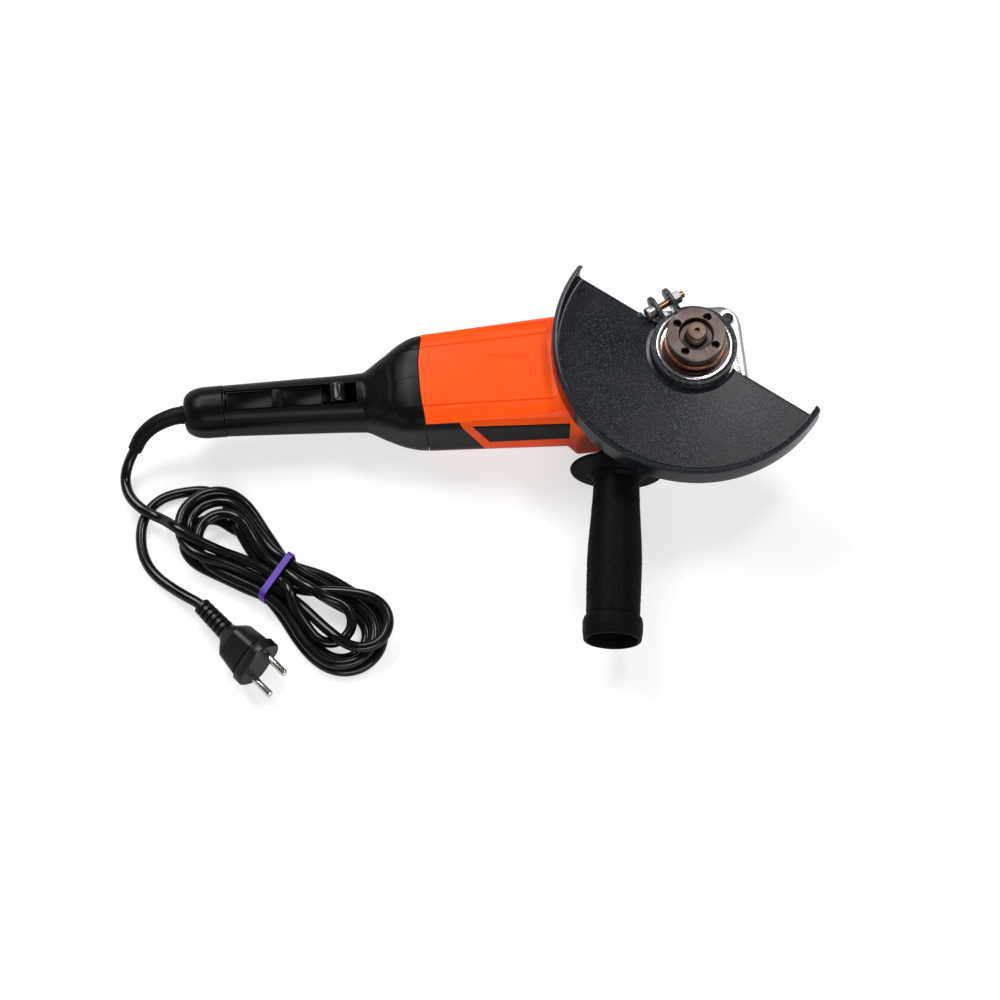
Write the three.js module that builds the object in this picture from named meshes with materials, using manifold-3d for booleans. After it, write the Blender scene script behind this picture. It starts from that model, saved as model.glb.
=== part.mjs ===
// Angle grinder, 180 mm class, lying face down on the top of its gear housing.
// Millimetres. +Z up along the spindle, +X from the rear handle to the nose.
// The spindle axis is x = 0, y = 0 and the surface it lies on is z = 0.
import * as THREE from 'three';
import { mergeVertices } from 'three/addons/utils/BufferGeometryUtils.js';
import Module from 'manifold-3d';

const wasm = await Module();
wasm.setup();

// ---------------------------------------------------------------- driving dimensions
const GAP = 0.3;                    // air between touching pieces
const MOTOR_Z = 38;                 // height of the motor axis
const WALL = 2.8;                   // moulded shell wall

const FLANGE_X = -67.7;             // joint between gear housing and motor housing
const FLANGE_STEP_X = -84;          // where the motor housing widens into its flange
const SEAM_X = -185;                // joint between motor housing and rear handle
const GRIP_FRONT_X = -229;          // front end of the grip
const CAP_X = -326;                 // joint between grip and end cap
const REAR_X = -354;                // rearmost point of the end cap
const SLOT_FRONT_X = -233.5;        // front end of the switch opening

const HEAD_TOP_Z = 62;              // open face of the gear housing
const COVER_TOP_Z = 68.5;           // top of the bearing cover flange
const NECK_R = 26.2;                // neck that carries the guard
const NECK_TOP_Z = 84;

const GUARD_LOW_Z = 72;             // underside of the guard pan
const SHEET = 2;                    // guard sheet thickness
const GUARD_R = 98;                 // outer radius of the guard at its pan
const RIM_TOP_Z = 93;
const LIP_R = 93.6;                 // inner edge of the curled rim
const CHORD_OFFSET = 3.5;           // open edge of the guard, from the spindle axis
const OPEN_ANGLE = THREE.MathUtils.degToRad(51);    // direction the guard is open to
const EAR_ANGLE = THREE.MathUtils.degToRad(117);    // direction of the clamp ears
const BAND_IN = 26.5;
const BAND_OUT = 29.5;
const CLAMP_R = 37.5;               // clamp screw axis, from the spindle axis
const CLAMP_Z = 79.5;

const NUT_R = 20.3;
const NUT_FACE_Z = 101;
const SPINDLE_TOP_Z = 107;
const THREAD_R = 6.95;              // M14 spindle thread
const PIN_HOLE_R = 2.7;
const PIN_HOLE_PCD = 30;

const HANDLE_RAKE = THREE.MathUtils.degToRad(7.7);  // side handle leans to the rear
const HANDLE_X = -55.8;             // where the boss axis crosses the housing side
const BOSS_Y = 46;
const BOSS_LENGTH = 11;             // boss face beyond that point
const BOSS_R = 10.5;
const HANDLE_LENGTH = 135.7;        // from the boss face to the end of the grip
const HUB_LENGTH = 8.5;             // grip hub between the boss face and the hand disc
const DISC_R = 32.5;
const HOLLOW_DEPTH = 104.5;         // bottom of the hollow in the end of the grip

const PINION_TEETH = 11;
const GEAR_TEETH = 33;
const CONE_OUT = 29;                // outer cone distance of the bevel pair
const CONE_IN = 21;

const STATOR_R = 30;
const STACK = [-150, -110];         // lamination stack along X
const ROTOR_R = 20;

const PADDLE_PIVOT = [CAP_X + 8.5, 48];  // x, z
const LEVER_PIVOT = [CAP_X + 73, 43];
const PLUNGER_X = CAP_X + 57;

const CORD_D = 7.4;
const CORD_R = CORD_D / 2;
const HANK_H = 20;
const HANK_WAIST = 20.2;            // half width of the bundle under its tie
const TIE_W = 6;
const TIE_T = 1.4;
const PIN_R = 2.4;                  // plug pins
const PIN_Y = 9.5;

// ---------------------------------------------------------------- finishes
const finish = (color, roughness, metalness) => () =>
  new THREE.MeshStandardMaterial({ color, roughness, metalness });
const orangeShell = finish(0xf0500f, 0.35, 0);
const blackShell = finish(0x151517, 0.5, 0);
const blackGrip = finish(0x121213, 0.75, 0);
const castAlloy = finish(0xc3c6c8, 0.45, 0.9);
const blackSheet = finish(0x15171b, 0.45, 0.4);
const darkSteel = finish(0x4a3f3c, 0.45, 0.9);
const copperSteel = finish(0x7c4a30, 0.4, 0.9);
const brightSteel = finish(0xb8bbbe, 0.3, 1);
const zincSteel = finish(0xb79a52, 0.35, 1);
const lamination = finish(0x5d6064, 0.5, 0.9);
const copperWire = finish(0xa85a2a, 0.4, 0.8);
const carbon = finish(0x26262a, 0.7, 0.1);
const brassMetal = finish(0xb58c3c, 0.35, 1);
const cordRubber = finish(0x0e0e0f, 0.4, 0);
const purpleTie = finish(0x5b2bc0, 0.5, 0);

// ---------------------------------------------------------------- solids
const group = new THREE.Group();

function bare(geometry) {
  const copy = geometry.clone();
  for (const name of Object.keys(copy.attributes)) {
    if (name !== 'position') copy.deleteAttribute(name);
  }
  return mergeVertices(copy, 1e-4);
}

function solid(geometry) {
  const merged = bare(geometry);
  const mesh = new wasm.Mesh({
    numProp: 3,
    vertProperties: new Float32Array(merged.attributes.position.array),
    triVerts: new Uint32Array(merged.index.array),
  });
  return new wasm.Manifold(mesh);
}

function node(name, body, material, at = null) {
  const mesh = body.getMesh();
  const geometry = new THREE.BufferGeometry();
  geometry.setAttribute('position', new THREE.BufferAttribute(new Float32Array(mesh.vertProperties), 3));
  geometry.setIndex(new THREE.BufferAttribute(new Uint32Array(mesh.triVerts), 1));
  geometry.computeVertexNormals();
  const result = new THREE.Mesh(geometry, material());
  result.name = name;
  if (at) result.applyMatrix4(at);
  group.add(result);
  return result;
}

const deg = THREE.MathUtils.degToRad;
const union = (first, ...rest) => rest.reduce((sum, item) => sum.add(item), first);

function box(x0, x1, y0, y1, z0, z1) {
  const geometry = new THREE.BoxGeometry(x1 - x0, y1 - y0, z1 - z0);
  geometry.translate((x0 + x1) / 2, (y0 + y1) / 2, (z0 + z1) / 2);
  return solid(geometry);
}

// A round bar between two points.
function bar(from, to, radius, sides = 20, endRadius = radius) {
  const a = new THREE.Vector3(...from);
  const b = new THREE.Vector3(...to);
  const length = a.distanceTo(b);
  const geometry = new THREE.CylinderGeometry(endRadius, radius, length, sides);
  geometry.translate(0, length / 2, 0);
  const turn = new THREE.Quaternion().setFromUnitVectors(
    new THREE.Vector3(0, 1, 0), b.clone().sub(a).normalize());
  geometry.applyQuaternion(turn);
  geometry.translate(a.x, a.y, a.z);
  return solid(geometry);
}

// A turned solid: outline of [radius, height] about +Z, moved to a place and turned to an axis.
function turned(outline, sides = 24, axis = [0, 0, 1], place = [0, 0, 0]) {
  const points = outline.map(([r, h]) => new THREE.Vector2(r, h));
  const closed = points[0].x > 0 ? [...points, points[0].clone()] : points;
  const geometry = new THREE.LatheGeometry(closed, sides);
  const turn = new THREE.Quaternion().setFromUnitVectors(
    new THREE.Vector3(0, 1, 0), new THREE.Vector3(...axis).normalize());
  geometry.applyQuaternion(turn);
  geometry.translate(...place);
  const body = solid(geometry);
  if (body.volume() > 0) return body;
  return solid(flipped(geometry));
}

function flipped(geometry) {
  const copy = bare(geometry);
  const index = copy.index.array;
  for (let i = 0; i < index.length; i += 3) {
    [index[i], index[i + 1]] = [index[i + 1], index[i]];
  }
  return copy;
}

function ring(rIn, rOut, h0, h1, sides = 24, axis = [0, 0, 1], place = [0, 0, 0]) {
  return turned([[rIn, h0], [rOut, h0], [rOut, h1], [rIn, h1]], sides, axis, place);
}

// A flat outline of [x, y] extruded along +Z.
function plate(outline, z0, z1) {
  const shape = new THREE.Shape(outline.map(([x, y]) => new THREE.Vector2(x, y)));
  const geometry = new THREE.ExtrudeGeometry(shape, { depth: z1 - z0, bevelEnabled: false });
  geometry.translate(0, 0, z0);
  return solid(geometry);
}

// A side outline of [x, z] extruded along Y.
function sidePlate(outline, y0, y1) {
  const shape = new THREE.Shape(outline.map(([x, z]) => new THREE.Vector2(x, z)));
  const geometry = new THREE.ExtrudeGeometry(shape, { depth: y1 - y0, bevelEnabled: false });
  geometry.rotateX(Math.PI / 2);
  geometry.translate(0, y1, 0);
  return solid(geometry);
}

// A skin over rings of equally many points, closed at both ends.
function skin(rings) {
  const count = rings[0].length;
  const points = rings.flat();
  const faces = [];
  for (let i = 0; i + 1 < rings.length; i += 1) {
    for (let k = 0; k < count; k += 1) {
      const a = i * count + k;
      const b = i * count + (k + 1) % count;
      faces.push(a, b, b + count, a, b + count, a + count);
    }
  }
  const last = (rings.length - 1) * count;
  for (let k = 1; k + 1 < count; k += 1) {
    faces.push(0, k + 1, k);
    faces.push(last, last + k, last + k + 1);
  }
  const geometry = new THREE.BufferGeometry();
  const numbers = points.flatMap((p) => [p.x, p.y, p.z]);
  geometry.setAttribute('position', new THREE.Float32BufferAttribute(numbers, 3));
  geometry.setIndex(faces);
  const body = solid(geometry);
  return body.volume() > 0 ? body : solid(flipped(geometry));
}

// Rounded cross-section of the long body, as [y, z] points.
function section({ half, low, high, rTop = 16, rLow = 26 }, inset = 0) {
  const steps = 3;
  const corners = [
    [half - rTop, high - rTop, rTop, 0],
    [-(half - rTop), high - rTop, rTop, 90],
    [-(half - rLow), low + rLow, rLow, 180],
    [half - rLow, low + rLow, rLow, 270],
  ];
  const points = [];
  for (const [y, z, r, start] of corners) {
    for (let i = 0; i <= steps; i += 1) {
      const a = deg(start + 90 * i / steps);
      points.push([y + (r - inset) * Math.cos(a), z + (r - inset) * Math.sin(a)]);
    }
  }
  return points;
}

function bodyLoft(stations, inset = 0) {
  return skin(stations.map((s) =>
    section(s, inset).map(([y, z]) => new THREE.Vector3(s.x, y, z))));
}

// A round tube that follows points, with a radius at each point.
function taperedTube(points, radiusAt, steps = 12, sides = 12) {
  const curve = new THREE.CatmullRomCurve3(points.map((p) => new THREE.Vector3(...p)), false, 'centripetal');
  const frames = curve.computeFrenetFrames(steps, false);
  const rings = [];
  for (let i = 0; i <= steps; i += 1) {
    const centre = curve.getPointAt(i / steps);
    const radius = radiusAt(i / steps);
    const loop = [];
    for (let k = 0; k < sides; k += 1) {
      const a = 2 * Math.PI * k / sides;
      loop.push(centre.clone()
        .addScaledVector(frames.normals[i], radius * Math.cos(a))
        .addScaledVector(frames.binormals[i], radius * Math.sin(a)));
    }
    rings.push(loop);
  }
  return skin(rings);
}

function cordTube(points, steps) {
  const curve = new THREE.CatmullRomCurve3(points.map((p) => new THREE.Vector3(...p)), false, 'centripetal');
  const shape = new THREE.Shape();
  const sides = 8;
  for (let k = 0; k < sides; k += 1) {
    const a = 2 * Math.PI * k / sides;
    const x = CORD_R * Math.cos(a);
    const y = CORD_R * Math.sin(a);
    if (k === 0) shape.moveTo(x, y);
    else shape.lineTo(x, y);
  }
  shape.closePath();
  const geometry = new THREE.ExtrudeGeometry(shape, { steps, extrudePath: curve });
  const body = solid(geometry);
  return body.volume() > 0 ? body : solid(flipped(geometry));
}

// ---------------------------------------------------------------- long body outlines
const housingStations = [
  { x: SEAM_X + GAP, half: 35, low: 0, high: 69, rTop: 16, rLow: 26 },
  { x: FLANGE_X - GAP, half: 41.5, low: 0, high: 71, rTop: 17, rLow: 26 },
];
const flangeStations = [
  { x: FLANGE_STEP_X - 5, half: 41, low: 0, high: 69, rTop: 18, rLow: 24 },
  { x: FLANGE_STEP_X + 1, half: 46, low: 0, high: 69, rTop: 18, rLow: 20 },
  { x: FLANGE_X - GAP, half: 46, low: 0, high: 69, rTop: 18, rLow: 20 },
];
const handleStations = [
  { x: CAP_X + GAP, half: 16.2, low: 19, high: 57, rTop: 14.5, rLow: 14.5 },
  { x: -275, half: 17.4, low: 14.5, high: 55.2, rTop: 15, rLow: 15 },
  { x: GRIP_FRONT_X, half: 18.8, low: 9.5, high: 53, rTop: 15, rLow: 16 },
  { x: -221, half: 21.5, low: 8, high: 55, rTop: 15, rLow: 17 },
  { x: -213, half: 26, low: 6, high: 59, rTop: 16, rLow: 20 },
  { x: -201, half: 32, low: 3.2, high: 65, rTop: 16, rLow: 24 },
  { x: -191.6, half: 34.4, low: 1, high: 68, rTop: 16, rLow: 26 },
  { x: SEAM_X, half: 35, low: 0.4, high: 69, rTop: 16, rLow: 26 },
];
const capStations = [
  { x: REAR_X, half: 9.6, low: 28.5, high: 47.5, rTop: 9.4, rLow: 9.4 },
  { x: REAR_X + 3, half: 13, low: 23.5, high: 52, rTop: 12.5, rLow: 12.5 },
  { x: REAR_X + 9, half: 15.3, low: 20.4, high: 55.4, rTop: 14, rLow: 14 },
  { x: CAP_X, half: 16.4, low: 18.8, high: 57.2, rTop: 14.5, rLow: 14.5 },
];

// ---------------------------------------------------------------- gear head
const RAKE_X = -Math.sin(HANDLE_RAKE);
const RAKE_Y = Math.cos(HANDLE_RAKE);

// A point on the side handle axis, `along` mm out from the boss face; side -1 is toward -Y.
function handlePoint(along, side = -1) {
  const reach = BOSS_LENGTH + along;
  return [HANDLE_X + RAKE_X * reach, side * (BOSS_Y + RAKE_Y * reach), MOTOR_Z];
}

function headPlan(half, corner) {
  const shape = [];
  for (const [cx, cy, start] of [[half, half, 0], [-1, half, 90], [-1, -half, 180], [half, -half, 270]]) {
    const x = cx === half ? half - corner : -20;
    const y = Math.sign(cy) * (half - corner);
    for (let i = 0; i <= 3; i += 1) {
      const a = deg(start + 30 * i);
      shape.push([x + corner * Math.cos(a), y + corner * Math.sin(a)]);
    }
  }
  return shape;
}

function makeGearHousing() {
  const base = headPlan(33, 14).map(([x, y]) => new THREE.Vector3(x, y, 0));
  const shoulder = headPlan(37, 16).map(([x, y]) => new THREE.Vector3(x, y, 7));
  const top = headPlan(37, 16).map(([x, y]) => new THREE.Vector3(x, y, HEAD_TOP_Z));
  const head = skin([base, shoulder, top]);
  const throat = bodyLoft([
    { x: FLANGE_X + 5, half: 42, low: 0, high: 66, rTop: 18, rLow: 22 },
    { x: -50, half: 37, low: 0, high: 62, rTop: 14, rLow: 16 },
    { x: -20, half: 36.5, low: 0, high: HEAD_TOP_Z, rTop: 12, rLow: 12 },
  ]);
  const flange = bodyLoft([
    { x: FLANGE_X, half: 46, low: 0, high: 69, rTop: 18, rLow: 20 },
    { x: FLANGE_X + 6, half: 45, low: 0, high: 68, rTop: 18, rLow: 20 },
  ]);
  let body = union(head, throat, flange);
  for (const side of [-1, 1]) {
    const inner = handlePoint(-20, side);
    const face = handlePoint(0, side);
    body = body.add(bar(inner, face, BOSS_R, 20));
  }
  const side = BOSS_Y + 0.5;
  body = body.subtract(box(FLANGE_X - 20, FLANGE_X, -side, side, 0, HEAD_TOP_Z + 10));
  const gearWell = turned([[0, 8], [31.5, 8], [31.5, HEAD_TOP_Z + 1], [0, HEAD_TOP_Z + 1]], 28);
  body = body.subtract(gearWell);
  body = body.add(ring(9.3, 12.5, 7.5, 22, 18));
  body = body.subtract(bar([FLANGE_X + 12, 0, MOTOR_Z], [-20, 0, MOTOR_Z], 16.4, 20));
  body = body.subtract(bar([FLANGE_X - 1, 0, MOTOR_Z], [FLANGE_X + 12.5, 0, MOTOR_Z], 29, 24));
  body = body.subtract(bar([20, 0, -1], [20, 0, 9], 7.5, 16));
  for (const side of [-1, 1]) {
    body = body.subtract(bar(handlePoint(-16, side), handlePoint(1, side), 7.4, 16));
  }
  for (const [x, y] of coverScrewPlaces()) {
    body = body.subtract(bar([x, y, 48], [x, y, HEAD_TOP_Z + 1], 2.4, 8));
  }
  for (const [y, z] of housingScrewPlaces()) {
    body = body.subtract(bar([FLANGE_X - 1, y, z], [-40, y, z], 2.6, 8));
    body = body.subtract(bar([FLANGE_X + 3.5, y, z], [-40, y, z], 4.8, 10));
  }
  node('gear_housing', body, castAlloy);
}

function coverScrewPlaces() {
  return [[27, 24], [27, -24], [-27, 24], [-27, -24]];
}

function housingScrewPlaces() {
  return [[37, 60], [-37, 60], [37, 11.5], [-37, 11.5]];
}

function makeBearingCover() {
  const plan = headPlan(34.5, 15).map(([x, y]) => [Math.max(x, -34.5), y]);
  let body = plate(plan, HEAD_TOP_Z + GAP, COVER_TOP_Z);
  body = body.add(turned([[0, COVER_TOP_Z - 1], [NECK_R, COVER_TOP_Z - 1], [NECK_R, NECK_TOP_Z - 0.8],
    [NECK_R - 0.8, NECK_TOP_Z], [0, NECK_TOP_Z]], 28));
  body = body.subtract(turned([[0, 60], [16.3, 60], [16.3, 74.6], [11, 74.6], [11, 76.6],
    [21, 76.6], [21, 80], [24, 80], [24, NECK_TOP_Z + 1], [0, NECK_TOP_Z + 1]], 28));
  for (const [x, y] of coverScrewPlaces()) {
    body = body.subtract(bar([x, y, 60], [x, y, 70], 2.4, 8));
  }
  node('bearing_cover', body, castAlloy);
  coverScrewPlaces().forEach(([x, y], i) => {
    const z = COVER_TOP_Z + GAP;
    let screw = turned([[0, 50], [1.9, 50], [1.9, z], [4, z], [4, z + 1.8], [3, z + 2.6], [0, z + 2.6]],
      10, [0, 0, 1], [x, y, 0]);
    screw = screw.subtract(box(x - 0.45, x + 0.45, y - 2.2, y + 2.2, z + 1.4, z + 4));
    screw = screw.subtract(box(x - 2.2, x + 2.2, y - 0.45, y + 0.45, z + 1.4, z + 4));
    node(`cover_screw_${i + 1}`, screw, blackShell);
  });
}

// ---------------------------------------------------------------- bevel gears
// A straight bevel gear with its apex at the origin and its axis along +Z.
function bevelGear(teeth, coneAngle, boreR, backH) {
  const addendum = deg(2.6);
  const dedendum = deg(3.9);
  const root = coneAngle - dedendum;
  const tip = coneAngle + addendum;
  const onCone = (distance, angle) => [distance * Math.sin(angle), distance * Math.cos(angle)];
  const body = turned([
    [boreR, onCone(CONE_IN, root)[1]], onCone(CONE_IN, root), onCone(CONE_OUT, root),
    [onCone(CONE_OUT, root)[0], backH], [boreR, backH]], teeth > 20 ? teeth : teeth * 2);
  const pitch = 2 * Math.PI / teeth;
  let gear = body;
  for (let i = 0; i < teeth; i += 1) {
    const rings = [];
    for (const distance of [CONE_IN, CONE_OUT]) {
      const corners = [[root - deg(1.2), -0.29], [tip, -0.11], [tip, 0.11], [root - deg(1.2), 0.29]];
      rings.push(corners.map(([angle, share]) => {
        const [r, h] = onCone(distance, angle);
        const a = (i + share) * pitch;
        return new THREE.Vector3(r * Math.cos(a), r * Math.sin(a), h);
      }));
    }
    gear = gear.add(skin(rings));
  }
  return gear;
}

function moved(body, matrix) {
  return body.transform(matrix.elements);
}

const pinionCone = Math.atan(PINION_TEETH / GEAR_TEETH);
const gearCone = Math.PI / 2 - pinionCone;

function makeBevelPair() {
  const apex = new THREE.Matrix4().makeTranslation(0, 0, MOTOR_Z);
  // The pinion's first tooth points to +Z, into the gear's gap toward -X.
  const pinionTurn = new THREE.Matrix4().makeBasis(
    new THREE.Vector3(0, 0, 1), new THREE.Vector3(0, -1, 0), new THREE.Vector3(-1, 0, 0));
  const pinionBack = 29.5;
  const pinion = bevelGear(PINION_TEETH, pinionCone, 4.3, pinionBack);
  node('bevel_pinion', moved(pinion, apex.clone().multiply(pinionTurn)), brightSteel);
  const gearTurn = new THREE.Matrix4().makeRotationZ(Math.PI + Math.PI / GEAR_TEETH);
  const crown = bevelGear(GEAR_TEETH, gearCone, 7.8, 19.5);
  node('bevel_gear', moved(crown, apex.clone().multiply(gearTurn)), brightSteel);
}

// ---------------------------------------------------------------- spindle and nut
function makeSpindle() {
  const body = turned([[0, 10], [4.7, 10], [4.7, 21.5], [7.5, 21.5], [7.5, 62], [5.7, 62], [5.7, 75.5],
    [9, 75.5], [9, 85.3], [THREAD_R, 85.3], [THREAD_R, SPINDLE_TOP_Z - 1.2],
    [THREAD_R - 1.2, SPINDLE_TOP_Z], [1.8, SPINDLE_TOP_Z], [0, SPINDLE_TOP_Z - 2.6]], 20);
  node('spindle', body, darkSteel);
  node('inner_flange', turned([[7.3, 85.7], [12, 85.7], [20.8, 86.4], [21, 90.2], [20.6, 90.6], [11.1, 90.6],
    [11.1, 91.8], [7.3, 91.8]], 24), copperSteel);
  node('spindle_ball_bearing', ring(6.1, 16, 64.2, 74.2, 20), brightSteel);
  node('spindle_needle_bearing', ring(5.1, 9, 9, 21, 16), brightSteel);
}

function makeLockNut() {
  let nut = turned([[7.3, 92.9], [14, 92.9], [14, 94], [NUT_R - 0.5, 94], [NUT_R, 94.6],
    [NUT_R, NUT_FACE_Z - 0.5], [NUT_R - 0.5, NUT_FACE_Z], [11.8, NUT_FACE_Z], [11.4, NUT_FACE_Z - 5.5],
    [7.3, NUT_FACE_Z - 5.5]], 24);
  for (let i = 0; i < 4; i += 1) {
    const a = deg(53 + 90 * i);
    const x = PIN_HOLE_PCD / 2 * Math.cos(a);
    const y = PIN_HOLE_PCD / 2 * Math.sin(a);
    nut = nut.subtract(bar([x, y, NUT_FACE_Z - 5.5], [x, y, NUT_FACE_Z + 1], PIN_HOLE_R, 10));
  }
  node('lock_nut', nut, darkSteel);
}

// ---------------------------------------------------------------- guard
function openSide(offset, high) {
  const n = new THREE.Vector2(Math.cos(OPEN_ANGLE), Math.sin(OPEN_ANGLE));
  const t = new THREE.Vector2(-n.y, n.x);
  const size = 150;
  const outline = [[offset, -size], [offset + size, -size], [offset + size, size], [offset, size]]
    .map(([along, across]) => [n.x * along + t.x * across, n.y * along + t.y * across]);
  return plate(outline, 40, high);
}

function makeGuard() {
  const low = GUARD_LOW_Z;
  const pan = turned([[BAND_OUT + GAP, low], [GUARD_R - 1.5, low], [GUARD_R, low + 1.5],
    [GUARD_R - 0.5, RIM_TOP_Z - 3], [GUARD_R - 2, RIM_TOP_Z - 0.6], [LIP_R + 0.6, RIM_TOP_Z],
    [LIP_R, RIM_TOP_Z - 1.2], [GUARD_R - 3, RIM_TOP_Z - 3.4], [GUARD_R - 2.4, low + 3],
    [GUARD_R - 3.6, low + SHEET], [BAND_OUT + GAP, low + SHEET]], 64);
  node('guard_pan', pan.subtract(openSide(CHORD_OFFSET, RIM_TOP_Z + 5)), blackSheet);

  const out = [Math.cos(EAR_ANGLE), Math.sin(EAR_ANGLE)];
  const along = [Math.sin(EAR_ANGLE), -Math.cos(EAR_ANGLE)];
  const at = (r, t, z) => [out[0] * r + along[0] * t, out[1] * r + along[1] * t, z];
  const slab = (r0, r1, t0, t1, z0, z1) => plate(
    [at(r0, t0), at(r1, t0), at(r1, t1), at(r0, t1)].map(([x, y]) => [x, y]).reverse(), z0, z1);
  let band = ring(BAND_IN, BAND_OUT, low - 0.2, NECK_TOP_Z - 0.6, 32);
  band = band.subtract(slab(20, 34, -5.2, 5.2, 60, 90));
  for (const side of [-1, 1]) {
    const near = side < 0 ? -7.6 : 5.2;
    band = band.add(slab(BAND_OUT - 1.8, 41, near, near + 2.4, low - 0.2, 86));
    band = band.add(bar(at(41, near, CLAMP_Z), at(41, near + 2.4, CLAMP_Z), 6.2, 14));
  }
  band = band.subtract(bar(at(CLAMP_R, -9, CLAMP_Z), at(CLAMP_R, 9, CLAMP_Z), 2.9, 14));
  band = band.subtract(bar([0, 0, 60], [0, 0, 95], BAND_IN, 32));
  node('guard_collar', band, blackSheet);

  let screw = bar(at(CLAMP_R, -8, CLAMP_Z), at(CLAMP_R, 16.5, CLAMP_Z), 2.5, 14);
  screw = screw.add(bar(at(CLAMP_R, -14, CLAMP_Z), at(CLAMP_R, -7.6 - GAP, CLAMP_Z), 4.8, 20));
  screw = screw.subtract(bar(at(CLAMP_R, -15, CLAMP_Z), at(CLAMP_R, -11, CLAMP_Z), 2.4, 6));
  node('clamp_screw', screw, brightSteel);
  let nut = bar(at(CLAMP_R, 7.6 + GAP, CLAMP_Z), at(CLAMP_R, 13, CLAMP_Z), 4.7, 6);
  nut = nut.subtract(bar(at(CLAMP_R, 6, CLAMP_Z), at(CLAMP_R, 15, CLAMP_Z), 2.8, 14));
  node('clamp_nut', nut, zincSteel);
}

// ---------------------------------------------------------------- motor housing and its trim
const insertOutline = (grow) => [[SEAM_X - 2, 64 + grow], [-163 + grow, 64 + grow],
  [-147 + grow * 1.5, 17 - grow], [SEAM_X - 2, 17 - grow]];
const badgeOutline = (grow) => [[-155 - grow * 1.5, 58.5 + grow], [-90 + grow, 57.5 + grow],
  [-90 + grow, 31 - grow], [-145.4 - grow * 1.5, 31 - grow]];

// What an inlay of this outline takes out of one side of the housing, down to a depth.
function sidePocket(outline, side, depth) {
  const y0 = side < 0 ? -60 : 18;
  const y1 = side < 0 ? -18 : 60;
  const [rear, front] = housingStations;
  const inner = bodyLoft([{ ...rear, x: rear.x - 3 }, { ...front, x: front.x + 3 }], depth);
  return sidePlate(outline, y0, y1).subtract(inner);
}

function sideInlay(outline, side, depth) {
  return sidePocket(outline, side, depth).intersect(bodyLoft(housingStations));
}

function makeMotorHousing() {
  let body = union(bodyLoft(housingStations), bodyLoft(flangeStations));
  body = body.subtract(bar([-166, 0, MOTOR_Z], [FLANGE_X + 5, 0, MOTOR_Z], STATOR_R + GAP, 32));
  body = body.subtract(bodyLoft(
    [{ ...housingStations[0], x: SEAM_X + 4 }, { ...housingStations[0], x: -165.5 }], 5.6));
  body = body.add(bar([-201, 0, MOTOR_Z], [SEAM_X + 4.5, 0, MOTOR_Z], 14.5, 18));
  body = body.subtract(bar([-202, 0, MOTOR_Z], [-191, 0, MOTOR_Z], 11.4, 18));
  body = body.subtract(bar([-202, 0, MOTOR_Z], [SEAM_X + 5, 0, MOTOR_Z], 7, 14));
  for (let i = 0; i < 4; i += 1) {
    const a = deg(45 + 90 * i);
    const y = 22 * Math.cos(a);
    const z = MOTOR_Z + 22 * Math.sin(a);
    body = body.subtract(bar([SEAM_X - 1, y, z], [SEAM_X + 5, y, z], 6, 8));
  }
  for (const side of [-1, 1]) {
    body = body.subtract(sidePocket(insertOutline(GAP), side, 2.5 + GAP));
    body = body.subtract(sidePocket(badgeOutline(GAP), side, 1.2 + GAP));
  }
  for (const [y, z] of housingScrewPlaces()) {
    body = body.subtract(bar([FLANGE_X - 13, y, z], [FLANGE_X + 1, y, z], 2.6, 8));
  }
  node('motor_housing', body, orangeShell);
  for (const [side, name] of [[-1, 'right'], [1, 'left']]) {
    node(`brush_cover_${name}`, sideInlay(insertOutline(0), side, 2.5), blackShell);
    node(`badge_plate_${name}`, sideInlay(badgeOutline(0), side, 1.2), blackShell);
  }
  housingScrewPlaces().forEach(([y, z], i) => {
    const x = FLANGE_X + 3.5 + GAP;
    let screw = bar([FLANGE_X - 12, y, z], [x + 0.5, y, z], 2.1, 8);
    screw = screw.add(bar([x, y, z], [x + 3.2, y, z], 4.2, 10, 3.6));
    screw = screw.subtract(bar([x + 1.6, y, z], [x + 4, y, z], 1.7, 6));
    node(`housing_screw_${i + 1}`, screw, brightSteel);
  });
}

// ---------------------------------------------------------------- motor
function sector(rIn, rOut, x0, x1, from, to) {
  const steps = Math.max(2, Math.ceil((to - from) / 12));
  const outline = [];
  for (let i = 0; i <= steps; i += 1) {
    const a = deg(from + (to - from) * i / steps);
    outline.push([rOut * Math.cos(a), rOut * Math.sin(a)]);
  }
  for (let i = steps; i >= 0; i -= 1) {
    const a = deg(from + (to - from) * i / steps);
    outline.push([rIn * Math.cos(a), rIn * Math.sin(a)]);
  }
  const body = plate(outline, x0, x1);
  // Plate axis +Z becomes +X, and the plate's +X becomes +Z.
  const turn = new THREE.Matrix4().makeBasis(
    new THREE.Vector3(0, 0, 1), new THREE.Vector3(0, 1, 0), new THREE.Vector3(-1, 0, 0));
  turn.setPosition(0, 0, MOTOR_Z);
  return moved(body, turn);
}

function makeStator() {
  const [x0, x1] = STACK;
  const slotAngles = [[42, 68], [112, 138], [222, 248], [292, 318]];
  let core = ring(ROTOR_R + 0.8, STATOR_R, -x1, -x0, 32, [-1, 0, 0], [0, 0, MOTOR_Z]);
  for (const [from, to] of slotAngles) {
    core = core.subtract(sector(19, 27.4, -x1 - 1, -x0 + 1, from, to));
  }
  node('stator_core', core, lamination);
  for (const [name, shift] of [['upper', 0], ['lower', 180]]) {
    const coil = union(sector(21.6, 27, -x1 - 7, -x1 - GAP, shift - 66, shift + 66),
      sector(21.6, 27, -x0 + GAP, -x0 + 7, shift - 66, shift + 66),
      sector(21.6, 27, -x1 - 6.5, -x0 + 6.5, shift + 44, shift + 66),
      sector(21.6, 27, -x1 - 6.5, -x0 + 6.5, shift - 66, shift - 44));
    node(`field_coil_${name}`, coil, copperWire);
  }
}

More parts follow.
